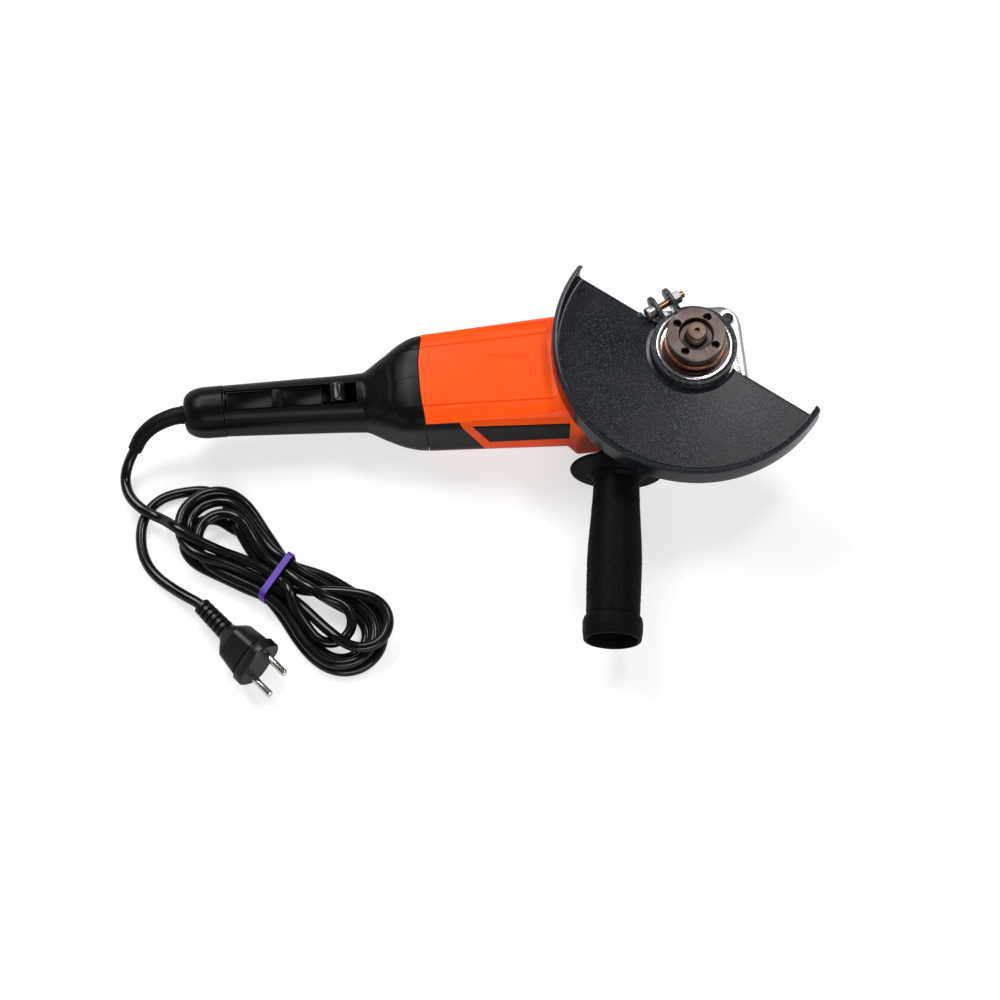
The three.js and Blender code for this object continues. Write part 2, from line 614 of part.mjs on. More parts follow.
function makeArmature() {
  const [x0, x1] = STACK;
  const along = (from, to, r, sides = 20) => bar([from, 0, MOTOR_Z], [to, 0, MOTOR_Z], r, sides);
  node('armature_shaft', union(along(-199.5, -190, 3.7, 14), along(-190.5, -31, 5.7, 14),
    along(-31.5, -19.8, 4, 14)), brightSteel);
  const slots = 12;
  let core = along(x0, x1, ROTOR_R, 24).subtract(along(x0 - 1, x1 + 1, 6.1, 12));
  let winding = union(along(x0 - 9, x0 - GAP, 17.5), along(x1 + GAP, x1 + 9, 17.5));
  for (let i = 0; i < slots; i += 1) {
    const a = 360 * i / slots;
    core = core.subtract(sector(11.5, 18.3, -x1 - 1, -x0 + 1, a - 8, a + 8));
    core = core.subtract(sector(17, 21, -x1 - 1, -x0 + 1, a - 2.5, a + 2.5));
    winding = winding.add(sector(12, 17.3, -x1 - 5, -x0 + 5, a - 6, a + 6));
  }
  winding = winding.subtract(along(x0 - 12, x1 + 12, 6.1, 12));
  node('armature_core', core, lamination);
  node('armature_winding', winding, copperWire);
  node('commutator', along(-180, -161, 13, 24).subtract(along(-181, -160, 6.1, 12)), copperWire);
  let fan = along(-82, -80, 28, 24).add(along(-82, -70, 10, 16));
  const blades = 11;
  for (let i = 0; i < blades; i += 1) {
    const a = 360 * i / blades;
    fan = fan.add(sector(9, 27.5, 70.5, 81, a - 1.6, a + 1.6));
  }
  node('cooling_fan', fan.subtract(along(-83, -69, 6.1, 12)), blackShell);
  node('armature_bearing_front', ring(6.1, 16, 38.5, 48.5, 20, [-1, 0, 0], [0, 0, MOTOR_Z]), brightSteel);
  node('armature_bearing_rear', ring(4.1, 11, 191.8, 198.8, 16, [-1, 0, 0], [0, 0, MOTOR_Z]), brightSteel);
  node('fan_baffle', ring(22, STATOR_R, 84.5, 86.5, 24, [-1, 0, 0], [0, 0, MOTOR_Z]), blackShell);
}

function makeBrushes() {
  const x = -170.5;
  const hw = 4;
  for (const [side, name] of [[-1, 'right'], [1, 'left']]) {
    const ys = (a, b) => (side < 0 ? [-b, -a] : [a, b]);
    const outer = box(x - hw - 1.8, x + hw + 1.8, ...ys(15, 28), MOTOR_Z - 6.8, MOTOR_Z + 6.8);
    const hole = box(x - hw - GAP, x + hw + GAP, ...ys(14, 26.5), MOTOR_Z - 5 - GAP, MOTOR_Z + 5 + GAP);
    node(`brush_holder_${name}`, outer.subtract(hole), brassMetal);
    node(`carbon_brush_${name}`, box(x - hw, x + hw, ...ys(13.4, 24), MOTOR_Z - 5, MOTOR_Z + 5), carbon);
  }
}

// ---------------------------------------------------------------- rear handle
function makeRearHandle() {
  const outer = bodyLoft(handleStations);
  const innerStations = handleStations.map((s) => ({ ...s }));
  innerStations[0].x -= 2;
  innerStations[innerStations.length - 1].x += 2;
  let shell = outer.subtract(bodyLoft(innerStations, WALL));
  shell = shell.subtract(box(CAP_X + 1.5, SLOT_FRONT_X, -7.7, 7.7, 42, 70));
  const [px, pz] = PADDLE_PIVOT;
  for (const side of [-1, 1]) {
    const boss = bar([px, side * 7.9, pz], [px, side * 13.6, pz], 4.6, 16);
    const hole = bar([px, side * 7, pz], [px, side * 10.4, pz], 2.9, 16);
    shell = shell.add(boss).subtract(hole);
  }
  for (const [side, name] of [[-1, 'right'], [1, 'left']]) {
    const half = side < 0 ? box(-400, -100, -80, -GAP / 2, -10, 100) : box(-400, -100, GAP / 2, 80, -10, 100);
    node(`handle_shell_${name}`, shell.intersect(half), blackShell);
  }
  let cap = bodyLoft(capStations);
  const hollow = capStations.slice(1).map((s) => ({ ...s }));
  hollow[hollow.length - 1].x += 2;
  cap = cap.subtract(bodyLoft(hollow, WALL));
  cap = cap.subtract(bar([REAR_X - 1, 0, MOTOR_Z], [REAR_X + 10, 0, MOTOR_Z], 7, 20));
  node('handle_end_cap', cap, blackShell);
}

function makeSwitch() {
  const at = (along) => CAP_X + along;
  const top = (along) => 54.8 - along * 3.6 / 69;
  const thick = 6;
  let paddle = sidePlate([[at(2.1), top(2.1) - thick], [at(65), top(65) - thick], [at(65), 39.5],
    [at(75), 39.5], [at(75), 45], [at(68.5), 46.5], [at(69), top(69)], [at(2.1), top(2.1)]].reverse(), -7, 7);
  for (const side of [-1, 1]) {
    const middle = side * 6.45;
    paddle = paddle.subtract(box(at(68.6), at(81), middle - 3.55, middle + 3.55, 30, 60));
  }
  paddle = paddle.add(box(at(34), at(41), -7, 7, 48, top(37.5) + 1.4));
  const [px, pz] = PADDLE_PIVOT;
  paddle = paddle.add(bar([px, -10, pz], [px, 10, pz], 2.5, 16));
  const [lx, lz] = LEVER_PIVOT;
  paddle = paddle.subtract(bar([lx, -5, lz], [lx, 5, lz], 1.8, 12));
  node('paddle_switch', paddle, blackShell);

  const arm = [[lx - 3.2, lz - 1.5], [lx + 1.5, lz - 3.2], [lx + 10, lz + 5], [lx + 4, lz + 11],
    [lx - 3, lz + 3]];
  let lever = union(bar([lx + 6.5, -6.8, lz + 8.5], [lx + 6.5, 6.8, lz + 8.5], 6, 24),
    sidePlate(arm, 3.3, 6.5), sidePlate(arm, -6.5, -3.3));
  lever = lever.subtract(box(lx - 6, lx + 3.4, -3.3, 3.3, lz - 6, lz + 3.2));
  lever = lever.add(bar([lx, -4, lz], [lx, 4, lz], 1.5, 12));
  node('lock_off_lever', lever, blackGrip);

  let housing = box(at(15), at(63), -9.5, 9.5, 24, 38);
  housing = housing.subtract(bar([PLUNGER_X, 0, 26], [PLUNGER_X, 0, 39], 3.4, 12));
  node('switch_body', housing, blackShell);
  node('switch_plunger', bar([PLUNGER_X, 0, 31], [PLUNGER_X, 0, 45.2], 3, 12), copperWire);
}

// ---------------------------------------------------------------- side handle
function makeSideHandle() {
  const direction = [RAKE_X, -RAKE_Y, 0];
  const place = handlePoint(GAP);
  const end = HANDLE_LENGTH;
  const disc = HUB_LENGTH;
  const hollow = HOLLOW_DEPTH;
  const grip = turned([[8, 0], [13.5, 0], [14, 0.8], [14, disc], [DISC_R - 1, disc + 2.2], [DISC_R, disc + 3.7],
    [DISC_R - 0.8, disc + 5.4], [21, disc + 6], [16.2, disc + 9], [15.8, disc + 12.5], [16.2, 30],
    [17.4, 50], [18.9, 80], [18.5, 111], [18.3, end - 17.2], [20, end - 15.2], [20.6, end - 9],
    [20.3, end - 1], [19.3, end], [17, end], [16, end - 4], [15.6, hollow], [8, hollow - 2]],
  20, direction, place);
  node('side_handle_grip', grip, blackGrip);
  const stud = turned([[0, -14.5], [6.2, -14.5], [6.9, -13.5], [6.9, 0], [7.6, 0.6], [7.6, hollow - 3.5],
    [0, hollow - 3.5]], 16, direction, place);
  node('side_handle_stud', stud, brightSteel);
}

function makeSpindleLock() {
  node('spindle_lock_button', turned([[0, 0.8], [6.4, 0.8], [7, 1.6], [7, 9.5], [3, 9.5], [3, 40.5], [0, 40.5]],
    20, [0, 0, 1], [20, 0, 0]), blackShell);
}

// ---------------------------------------------------------------- cord
const reliefRoute = [[-345, 0, 38], [-355, 0, 38], [-366, -1, 37], [-377, -4.5, 33.5], [-386, -9.5, 27.5],
  [-392, -15.5, 20]];
const leadRoute = [[-392.25, -15.8, 19.7], [-397.5, -22.5, 13.5], [-400.6, -31, 10], [-400, -41, 9.6],
  [-396, -50, 10.8], [-389.5, -57.5, 11.9], [-382, -63.5, 12.4], [-376.5, -67.2, 13]];
const plugLeadRoute = [[-359, -44.6, 4], [-367.5, -45.4, 3.9], [-376, -48, 3.8], [-383.5, -53, 3.8],
  [-388.6, -60, 3.8], [-391.6, -68.5, 3.8], [-392.4, -78, 3.8], [-391.3, -88, 3.8], [-387.5, -98, 3.9],
  [-381, -107, 4.6], [-372, -115.6, 6.3], [-362.4, -123.6, 9], [-352.7, -131.2, 11]];
const HANK_CENTRE = [-299, -116];
const HANK_ANGLE = deg(-38.3);
const hankOutline = [[-88, 4], [-80, 24], [-58, 31], [-30, 26], [0, 19], [32, 24], [62, 27], [86, 22], [96, 2],
  [88, -22], [66, -38], [36, -33], [0, -19], [-30, -26], [-58, -31], [-80, -20]];

function makeCord() {
  node('strain_relief', taperedTube(reliefRoute, (t) => (t < 0.12 ? 6.6 : 6.5 - 1.5 * t)), blackGrip);
  node('cord_lead', cordTube(leadRoute, 14), cordRubber);
  node('cord_plug_lead', cordTube(plugLeadRoute, 22), cordRubber);

  const place = new THREE.Matrix4().makeRotationZ(HANK_ANGLE);
  place.setPosition(HANK_CENTRE[0], HANK_CENTRE[1], 0);
  const outline = new THREE.CatmullRomCurve3(
    hankOutline.map(([u, v]) => new THREE.Vector3(u, v, 0)), true, 'centripetal');
  const points = outline.getPoints(48).slice(0, 48).map((p) => [p.x, p.y]).reverse();
  let hank = plate(points, 0.2, HANK_H);
  const reach = HANK_WAIST - 1.2;
  const core = reach - TIE_T - 2 * GAP + 0.2;
  const grooveOut = box(-TIE_W / 2 - GAP, TIE_W / 2 + GAP, -60, 60, -5, HANK_H + 5);
  const keep = box(-TIE_W, TIE_W, -core, core, 2, HANK_H - 2);
  hank = hank.subtract(grooveOut.subtract(keep));
  node('cord_hank', moved(hank, place), cordRubber);
  const within = reach - TIE_T;
  const tie = box(-TIE_W / 2, TIE_W / 2, -reach, reach, GAP, HANK_H - GAP)
    .subtract(box(-TIE_W, TIE_W, -within, within, GAP + TIE_T, HANK_H - GAP - TIE_T));
  node('hank_tie', moved(tie, place), purpleTie);
}

// ---------------------------------------------------------------- plug
function makePlug() {
  const heading = deg(-52.2);
  const pitch = deg(6.3);
  const roll = deg(36);
  const forward = new THREE.Vector3(
    Math.cos(heading) * Math.cos(pitch), Math.sin(heading) * Math.cos(pitch), Math.sin(pitch));
  const side = new THREE.Vector3(-Math.sin(heading), Math.cos(heading), 0);
  const up = new THREE.Vector3().crossVectors(forward, side);
  const across = side.clone().multiplyScalar(Math.cos(roll)).addScaledVector(up, Math.sin(roll));
  const flat = new THREE.Vector3().crossVectors(forward, across);
  const place = new THREE.Matrix4().makeBasis(forward, across, flat).setPosition(-352, -132, 11.1);
  const oval = (x, a, b, r) => section({ half: a, low: -b, high: b, rTop: r, rLow: r })
    .map(([y, z]) => new THREE.Vector3(x, y, z));
  const plug = skin([oval(0, 6, 6, 5.9), oval(27, 7.6, 7.6, 7.5), oval(28, 8.6, 8, 7.6),
    oval(36, 12.5, 10.5, 7), oval(54.5, 15, 11.8, 7), oval(55, 18.4, 13, 11), oval(61, 18.4, 13, 11),
    oval(62, 17.6, 12.2, 10.5)]);
  const holes = [-PIN_Y, PIN_Y].map((y) => bar([56, y, 0], [63, y, 0], PIN_R + GAP, 14));
  node('plug_body', moved(plug.subtract(holes[0]).subtract(holes[1]), place), blackShell);
  [-PIN_Y, PIN_Y].forEach((y, i) => {
    const tip = bar([79.9, y, 0], [81.4, y, 0], PIN_R, 14, PIN_R - 1);
    const pin = bar([56.3, y, 0], [80, y, 0], PIN_R, 14).add(tip);
    node(`plug_pin_${i + 1}`, moved(pin, place), brightSteel);
  });
}

makeGearHousing();
makeBearingCover();
makeBevelPair();
makeSpindle();
makeLockNut();
makeGuard();
makeMotorHousing();
makeStator();
makeArmature();
makeBrushes();
makeRearHandle();
makeSwitch();
makeSideHandle();
makeSpindleLock();
makeCord();
makePlug();

export default group;
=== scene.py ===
"""Angle grinder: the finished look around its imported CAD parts.

Lengths in the code are millimetres, in the frame of the parts: the spindle axis is x = 0, y = 0,
+Z points along the spindle to the lock nut, +X from the rear handle to the nose, and the surface
that the machine lies on is z = 0. Meshes are written in metres.
"""

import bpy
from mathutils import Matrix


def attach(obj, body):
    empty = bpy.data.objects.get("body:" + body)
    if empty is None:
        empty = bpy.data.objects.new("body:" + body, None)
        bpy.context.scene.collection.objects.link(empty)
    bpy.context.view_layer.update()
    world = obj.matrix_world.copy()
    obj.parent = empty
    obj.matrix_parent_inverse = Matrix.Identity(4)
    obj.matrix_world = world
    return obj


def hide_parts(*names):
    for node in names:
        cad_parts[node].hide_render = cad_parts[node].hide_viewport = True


bl_info = {
    "name": "Angle Grinder",
    "version": (1, 0, 0),
    "blender": (4, 5, 0),
    "location": "3D View > Sidebar > Grinder",
    "description": "Builds the shells, metal parts, cord and finishes of an angle grinder",
    "category": "Add Mesh",
}

from math import acos, asin, ceil, cos, hypot, pi, radians, sin, sqrt, tan

import bmesh
import bpy
import numpy as np
from bpy.props import FloatProperty, FloatVectorProperty, IntProperty, PointerProperty
from mathutils import Matrix, Vector, noise

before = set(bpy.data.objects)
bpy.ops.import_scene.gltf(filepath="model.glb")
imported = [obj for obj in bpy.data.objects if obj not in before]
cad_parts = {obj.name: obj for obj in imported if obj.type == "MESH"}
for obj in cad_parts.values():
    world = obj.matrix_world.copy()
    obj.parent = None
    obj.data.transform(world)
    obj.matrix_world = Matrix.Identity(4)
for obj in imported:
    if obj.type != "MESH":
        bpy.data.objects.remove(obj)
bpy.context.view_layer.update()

MM = 0.001
UP = Vector((0, 0, 1))

# ---- sizes the parts share
GAP = 0.3  # air between touching pieces
MOTOR_Z = 38.0  # height of the motor axis
WALL = 2.8  # moulded shell wall

FLANGE_X = -67.7  # joint between gear housing and motor housing
SEAM_X = -185.0  # joint between motor housing and rear handle
GRIP_FRONT_X = -229.0
CAP_X = -326.0  # joint between grip and end cap
REAR_X = -354.0

HEAD_TOP_Z = 62.0
COVER_TOP_Z = 68.5
NECK_R = 26.2
NECK_TOP_Z = 84.0

GUARD_LOW_Z = 72.0
SHEET = 2.0
GUARD_R = 98.0
RIM_TOP_Z = 93.0
LIP_R = 93.6
CHORD_OFFSET = 3.5
OPEN_ANGLE = radians(51)
EAR_ANGLE = radians(117)
BAND_IN = 26.5
BAND_OUT = 29.5
CLAMP_R = 37.5
CLAMP_Z = 79.5

NUT_R = 20.3
NUT_FACE_Z = 101.0
SPINDLE_TOP_Z = 107.0
THREAD_R = 6.95
PIN_HOLE_R = 2.7
PIN_HOLE_PCD = 30.0

HANDLE_RAKE = radians(7.7)
HANDLE_X = -55.8
BOSS_Y = 46.0
BOSS_LENGTH = 11.0
BOSS_R = 10.5
HANDLE_LENGTH = 135.7
HANDLE_WAY = Vector((-sin(HANDLE_RAKE), -cos(HANDLE_RAKE), 0))

PADDLE_PIVOT = (CAP_X + 8.5, 48.0)
LEVER_PIVOT = (CAP_X + 73, 43.0)

CORD_D = 7.4


# ---- settings
COLOUR = {"subtype": "COLOR", "size": 3, "min": 0, "max": 1}
LENGTH = {"subtype": "DISTANCE", "unit": "LENGTH"}


class GrinderColours(bpy.types.PropertyGroup):
    """Colours that a user would change."""

    shell: FloatVectorProperty(
        name="Motor housing", description="Colour of the motor housing", default=(0.95, 0.085, 0.006),
        **COLOUR)
    trim: FloatVectorProperty(
        name="Black plastic", description="Colour of the rear handle and the inserts",
        default=(0.0036, 0.0036, 0.0041), **COLOUR)
    sheet: FloatVectorProperty(
        name="Guard paint", description="Colour of the painted guard", default=(0.0045, 0.0065, 0.0105),
        **COLOUR)
    tie: FloatVectorProperty(
        name="Cord tie", description="Colour of the band round the cord", default=(0.08, 0.025, 0.34),
        **COLOUR)


class GrinderSizes(bpy.types.PropertyGroup):
    """Sizes that a user would change, in metres."""

    cord_diameter: FloatProperty(
        name="Cord diameter", description="Outer diameter of the mains cord", min=0.005, max=0.009,
        default=CORD_D * MM, **LENGTH)
    cord_step: FloatProperty(
        name="Cord step", description="Distance between points of the settled cord", min=0.003, max=0.006,
        default=0.0042, **LENGTH)
    settle_rounds: IntProperty(
        name="Settling rounds", description="Rounds that the bundled cord settles for", min=40, max=400,
        default=160)
    camera_distance: FloatProperty(
        name="Camera distance", description="From the camera to the middle of the view", min=0.5, max=5.0,
        default=1.69, **LENGTH)


def colours():
    return bpy.context.scene.grinder_colours


def sizes():
    return bpy.context.scene.grinder_sizes


# ---- meshes
def with_settings(thing, settings):
    for key, value in settings.items():
        setattr(thing, key, value)
    return thing


def put(name, data):
    """A new object in the scene."""
    thing = bpy.data.objects.new(name, data)
    bpy.context.scene.collection.objects.link(thing)
    return thing


def piece_from(name, points, faces):
    """A mesh object from points in millimetres."""
    mesh = bpy.data.meshes.new(name)
    mesh.from_pydata([(p[0] * MM, p[1] * MM, p[2] * MM) for p in points], [], faces)
    mesh.validate()
    return put(name, mesh)


def discard(piece):
    mesh = piece.data
    bpy.data.objects.remove(piece)
    bpy.data.meshes.remove(mesh)


def settle_modifiers(piece):
    """Turns what the modifiers make into the piece's own mesh."""
    evaluated = piece.evaluated_get(bpy.context.evaluated_depsgraph_get())
    mesh = bpy.data.meshes.new_from_object(evaluated)
    old = piece.data
    piece.modifiers.clear()
    piece.data = mesh
    mesh.name = piece.name
    if old.users == 0:
        bpy.data.meshes.remove(old)
    return piece


def tidy_faces(piece, merge=0.005):
    """Merges doubles and turns every face outwards."""
    mesh = bmesh.new()
    mesh.from_mesh(piece.data)
    bmesh.ops.remove_doubles(mesh, verts=mesh.verts, dist=merge * MM)
    bmesh.ops.dissolve_degenerate(mesh, edges=mesh.edges, dist=merge * MM)
    bmesh.ops.recalc_face_normals(mesh, faces=mesh.faces)
    if mesh.calc_volume(signed=True) < 0:
        bmesh.ops.reverse_faces(mesh, faces=mesh.faces)
    mesh.to_mesh(piece.data)
    mesh.free()
    return piece


def modify(piece, kind, **settings):
    """Adds a modifier with its settings."""
    with_settings(piece.modifiers.new(kind.lower(), kind), settings)


def combine(piece, others, operation):
    """Works other pieces into one by booleans, and uses them up."""
    for other in others:
        modify(piece, "BOOLEAN", operation=operation, solver="MANIFOLD", object=other)
        settle_modifiers(piece)
        discard(other)
    return piece


def cut(piece, *tools):
    return combine(piece, tools, "DIFFERENCE")


def join(piece, *others):
    return combine(piece, others, "UNION")


def bevelled(piece, width, segments=2, angle=32.0):
    modify(piece, "BEVEL", width=width * MM, segments=segments, limit_method="ANGLE",
           angle_limit=radians(angle), harden_normals=False)
    return settle_modifiers(piece)


def fused(piece, voxel, smoothing):
    """Melts a piece into one cast skin: its edges and inner corners come out round."""
    modify(piece, "REMESH", mode="VOXEL", voxel_size=voxel * MM)
    modify(piece, "SMOOTH", factor=0.5, iterations=smoothing)
    return settle_modifiers(piece)


def finished(piece, *finishes):
    """Takes a piece's materials away and gives it finishes by name."""
    piece.data.materials.clear()
    for name in finishes:
        piece.data.materials.append(FINISH[name])


def fit(piece, body, *nodes, finish=None, slot=None, sharp=38.0):
    """Hands a piece to the frame: its body, the CAD nodes it stands for and its finish. The slot is not used.
    """
    if finish:
        finished(piece, finish)
    piece.data.shade_smooth()
    piece.data.set_sharp_from_angle(angle=radians(sharp))
    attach(piece, body)
    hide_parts(*nodes)
    return piece


def two_finishes(piece, plain, other, is_other):
    """Gives one finish to a piece and another to the faces whose middles a test picks."""
    finished(piece, plain, other)
    for face in piece.data.polygons:
        face.material_index = int(is_other(face.center / MM))


def skin(rings, capped):
    """Faces over rings of equally many points. Returns points and faces."""
    count = len(rings[0])
    points = [tuple(p) for ring in rings for p in ring]
    faces = []
    for i in range(len(rings) - 1):
        for k in range(count):
            a = i * count + k
            b = i * count + (k + 1) % count
            faces.append((a, b, b + count, a + count))
    if capped:
        last = (len(rings) - 1) * count
        faces.append(tuple(range(count - 1, -1, -1)))
        faces.append(tuple(range(last, last + count)))
    return points, faces


def loft(name, rings, capped=True, merge=0.005):
    """A closed skin over rings; one without caps meets itself."""
    return tidy_faces(piece_from(name, *skin(rings, capped)), merge)


def rounded(outline, radius, steps=3, closed=True):
    """A flat outline with its corners rounded. A point may carry its own radius as a third number."""
    result = []
    count = len(outline)
    for i, point in enumerate(outline):
        own = point[2] if len(point) > 2 else radius
        here = Vector(point[:2])
        if not closed and i in (0, count - 1) or own <= 0:
            result.append(tuple(here))
            continue
        before = Vector(outline[i - 1][:2]) - here
        after = Vector(outline[(i + 1) % count][:2]) - here
        angle = before.angle(after, 0.0)
        if angle < 0.05 or angle > pi - 0.05:
            result.append(tuple(here))
            continue
        reach = min(own / tan(angle / 2), before.length * 0.46, after.length * 0.46)
        start = here + before.normalized() * reach
        end = here + after.normalized() * reach
        for step in range(steps + 1):
            t = step / steps
            result.append(tuple(start * (1 - t) ** 2 + here * 2 * t * (1 - t) + end * t * t))
    return result


def turning(axis, place):
    """The placement that takes +Z to an axis and the origin to a place, in millimetres."""
    way = Vector(axis).normalized()
    return Matrix.Translation(Vector(place)) @ way.to_track_quat("Z", "Y").to_matrix().to_4x4()


def circle(radius, sides):
    """Points (x, y) at even steps round the origin."""
    return [(radius * cos(a), radius * sin(a)) for a in np.linspace(0, 2 * pi, sides, endpoint=False)]


def turned(name, profile, fillet=0.4, sides=96, axis=(0, 0, 1), place=(0, 0, 0), steps=3):
    """A turned solid from a profile of (radius, height), its corners rounded."""
    hollow = all(p[0] > 0 for p in profile)
    outline = rounded(profile, fillet, steps, closed=hollow)
    if hollow:
        outline.append(outline[0])
    where = turning(axis, place)
    rings = [[where @ Vector((x, y, height)) for x, y in circle(max(radius, 0.004), sides)]
             for radius, height in outline]
    return loft(name, rings, not hollow, 0.01)


def bar(name, start, end, radius, sides=48, end_radius=None):
    """A round bar between two points."""
    way = Vector(end) - Vector(start)
    return turned(name, [(0, 0), (radius, 0), (end_radius or radius, way.length), (0, way.length)],
                  fillet=0, sides=sides, axis=way, place=start)


def bore(name, x0, x1, radius, sides=48, y=0, z=MOTOR_Z):
    """A round bar along the machine, on the motor axis unless placed elsewhere."""
    return bar(name, (x0, y, z), (x1, y, z), radius, sides)


def pivot(name, place, y0, y1, radius):
    """A round bar across the machine, at a place in its (x, z) plane."""
    return bar(name, (place[0], y0, place[1]), (place[0], y1, place[1]), radius)


def prism(name, outline, low, high):
    """A flat outline of (x, y) carried from one height to another."""
    return loft(name, [[Vector((p[0], p[1], z)) for p in outline] for z in (low, high)])


def block(name, x, y, z):
    """A plain box from three pairs of ends."""
    (x0, x1), (y0, y1) = sorted(x), sorted(y)
    return prism(name, [(x0, y0), (x1, y0), (x1, y1), (x0, y1)], *z)


def side_prism(name, outline, y0, y1):
    """A side outline of (x, z) carried across the machine."""
    return loft(name, [[Vector((x, y, z)) for x, z in outline] for y in (y0, y1)])


# ---- node trees
def add(tree, kind, settings=None, **sockets):
    """A node with its settings and its sockets. A shader node's kind goes without "ShaderNode"."""
    node = tree.nodes.new(kind if kind.startswith(("Geometry", "Function")) else "ShaderNode" + kind)
    with_settings(node, settings or {})
    for key, value in sockets.items():
        plug_in(tree, node.inputs[key.replace("_", " ")], value)
    return node


def plug_in(tree, socket, value):
    """Links a socket to another one or to a node's first output, or gives it a plain value."""
    if isinstance(value, bpy.types.Node):
        value = value.outputs[0]
    if isinstance(value, bpy.types.NodeSocket):
        tree.links.new(value, socket)
    else:
        socket.default_value = value


def in_order(tree, node, values):
    """Fills a node's sockets in their order."""
    for socket, value in zip(node.inputs, values):
        plug_in(tree, socket, value)
    return node.outputs


def maths(tree, operation, *values):
    return in_order(tree, add(tree, "Math", {"operation": operation}), values)[0]


def vector_maths(tree, operation, *values):
    outputs = in_order(tree, add(tree, "VectorMath", {"operation": operation}), values)
    return outputs["Value" if operation == "LENGTH" else "Vector"]


def ramp(tree, value, low, high, to_low=0.0, to_high=1.0):
    """A value taken smoothly from one range to another."""
    node = add(tree, "MapRange", {"interpolation_type": "SMOOTHSTEP"})
    return in_order(tree, node, (value, low, high, to_low, to_high))[0]


def new_tree(name, kind, inputs, outputs):
    """A node group with named sockets, its inputs given as name: (socket kind, default)."""
    tree = bpy.data.node_groups.new(name, kind)
    for label, (socket, default) in inputs.items():
        made = tree.interface.new_socket(label, in_out="INPUT", socket_type=socket)
        if default is not None:
            made.default_value = default
    for label, socket in outputs.items():
        tree.interface.new_socket(label, in_out="OUTPUT", socket_type=socket)
    return tree, tree.nodes.new("NodeGroupInput"), tree.nodes.new("NodeGroupOutput")


NUMBER = "NodeSocketFloat"
PLACE = "NodeSocketVector"


def per_size(tree, size):
    """The texture scale at which one cell is that many millimetres across."""
    return maths(tree, "DIVIDE", 1 / MM, size)


EFFECTS = {}


def effect(name, **inputs):
    """Makes a shader group of plain values from a function, kept under the function's name.

    The function takes the tree, the group's inputs and the object coordinates, and returns its outputs.
    """
    def keep(recipe):
        sockets = {
            label: (PLACE if isinstance(value, tuple) else NUMBER, value) for label, value in inputs.items()}
        tree, given, result = new_tree(name, "ShaderNodeTree", sockets, {})
        outputs = recipe(tree, given.outputs, add(tree, "TexCoord").outputs["Object"])
        for label, value in outputs.items():
            tree.interface.new_socket(label, in_out="OUTPUT", socket_type=NUMBER)
            plug_in(tree, result.inputs[label], value)
        EFFECTS[recipe.__name__] = tree
        return recipe

    return keep


def clouds(tree, place, size, detail, **options):
    """Noise whose patches are about that many millimetres across."""
    return add(tree, "TexNoise", Vector=place, Scale=per_size(tree, size), Detail=detail,
               **options).outputs["Fac"]


@effect("moulded_grain", Size=0.5, Roughness=0.6, Detail=3.0)
def grain(tree, given, coords):
    """Fine moulded or cast grain."""
    wide = clouds(tree, coords, maths(tree, "MULTIPLY", given["Size"], 28.0), 3.0)
    fine = clouds(tree, coords, given["Size"], given["Detail"], Roughness=given["Roughness"])
    return {"Height": fine, "Patches": ramp(tree, wide, 0.35, 0.65)}


@effect("pebble_texture", Size=1.2, Valley=0.5)
def pebble(tree, given, coords):
    """Rounded pebbles with narrow valleys, as on moulded grips."""
    scale = per_size(tree, given["Size"])
    bend = add(tree, "TexNoise", Vector=coords, Scale=scale, Detail=1.0).outputs["Color"]
    bent = vector_maths(tree, "MULTIPLY_ADD", bend, (0.0006, 0.0006, 0.0006), coords)
    cells = add(tree, "TexVoronoi", {"feature": "SMOOTH_F1"}, Vector=bent, Scale=scale, Smoothness=0.35)
    valley = maths(tree, "POWER", cells.outputs["Distance"], maths(tree, "ADD", given["Valley"], 1.0))
    shade = add(tree, "SeparateColor", Color=cells.outputs["Color"])
    return {"Height": maths(tree, "SUBTRACT", 1.0, valley), "Cell": shade}


@effect("edge_wear", Amount=0.5, Size=3.0)
def wear(tree, given, coords):
    """Rubbed edges and corners, broken up by noise."""
    edge = ramp(tree, add(tree, "NewGeometry").outputs["Pointiness"], 0.505, 0.57)
    broken = maths(tree, "MULTIPLY", edge, ramp(tree, clouds(tree, coords, given["Size"], 4.0), 0.35, 0.6))
    return {"Mask": maths(tree, "MULTIPLY", broken, given["Amount"])}


@effect("scuffs", Size=6.0, Amount=0.5)
def scuffs(tree, given, coords):
    """Thin handling scratches that run in two directions."""
    masks = []
    for turn, stretch in (((0.3, 0.2, 0.7), (1, 18, 18)), ((0.5, 1.1, -0.6), (16, 1, 16))):
        mapped = add(tree, "Mapping", {"vector_type": "TEXTURE"}, Vector=coords, Rotation=turn)
        long = vector_maths(tree, "MULTIPLY", mapped, stretch)
        masks.append(ramp(tree, clouds(tree, long, given["Size"], 2.0), 0.66, 0.74))
    return {"Mask": maths(tree, "MULTIPLY", maths(tree, "MAXIMUM", *masks), given["Amount"])}


@effect("speckle", Size=0.8, Cover=0.4)
def speckle(tree, given, coords):
    """Small scattered dots, as metallic flake or casting pits."""
    cells = add(tree, "TexVoronoi", Vector=coords, Scale=per_size(tree, given["Size"])).outputs
    pick = add(tree, "SeparateColor", Color=cells["Color"])
    chosen = maths(tree, "LESS_THAN", pick, given["Cover"])
    return {"Mask": maths(tree, "MULTIPLY", ramp(tree, cells["Distance"], 0.45, 0.25), chosen)}


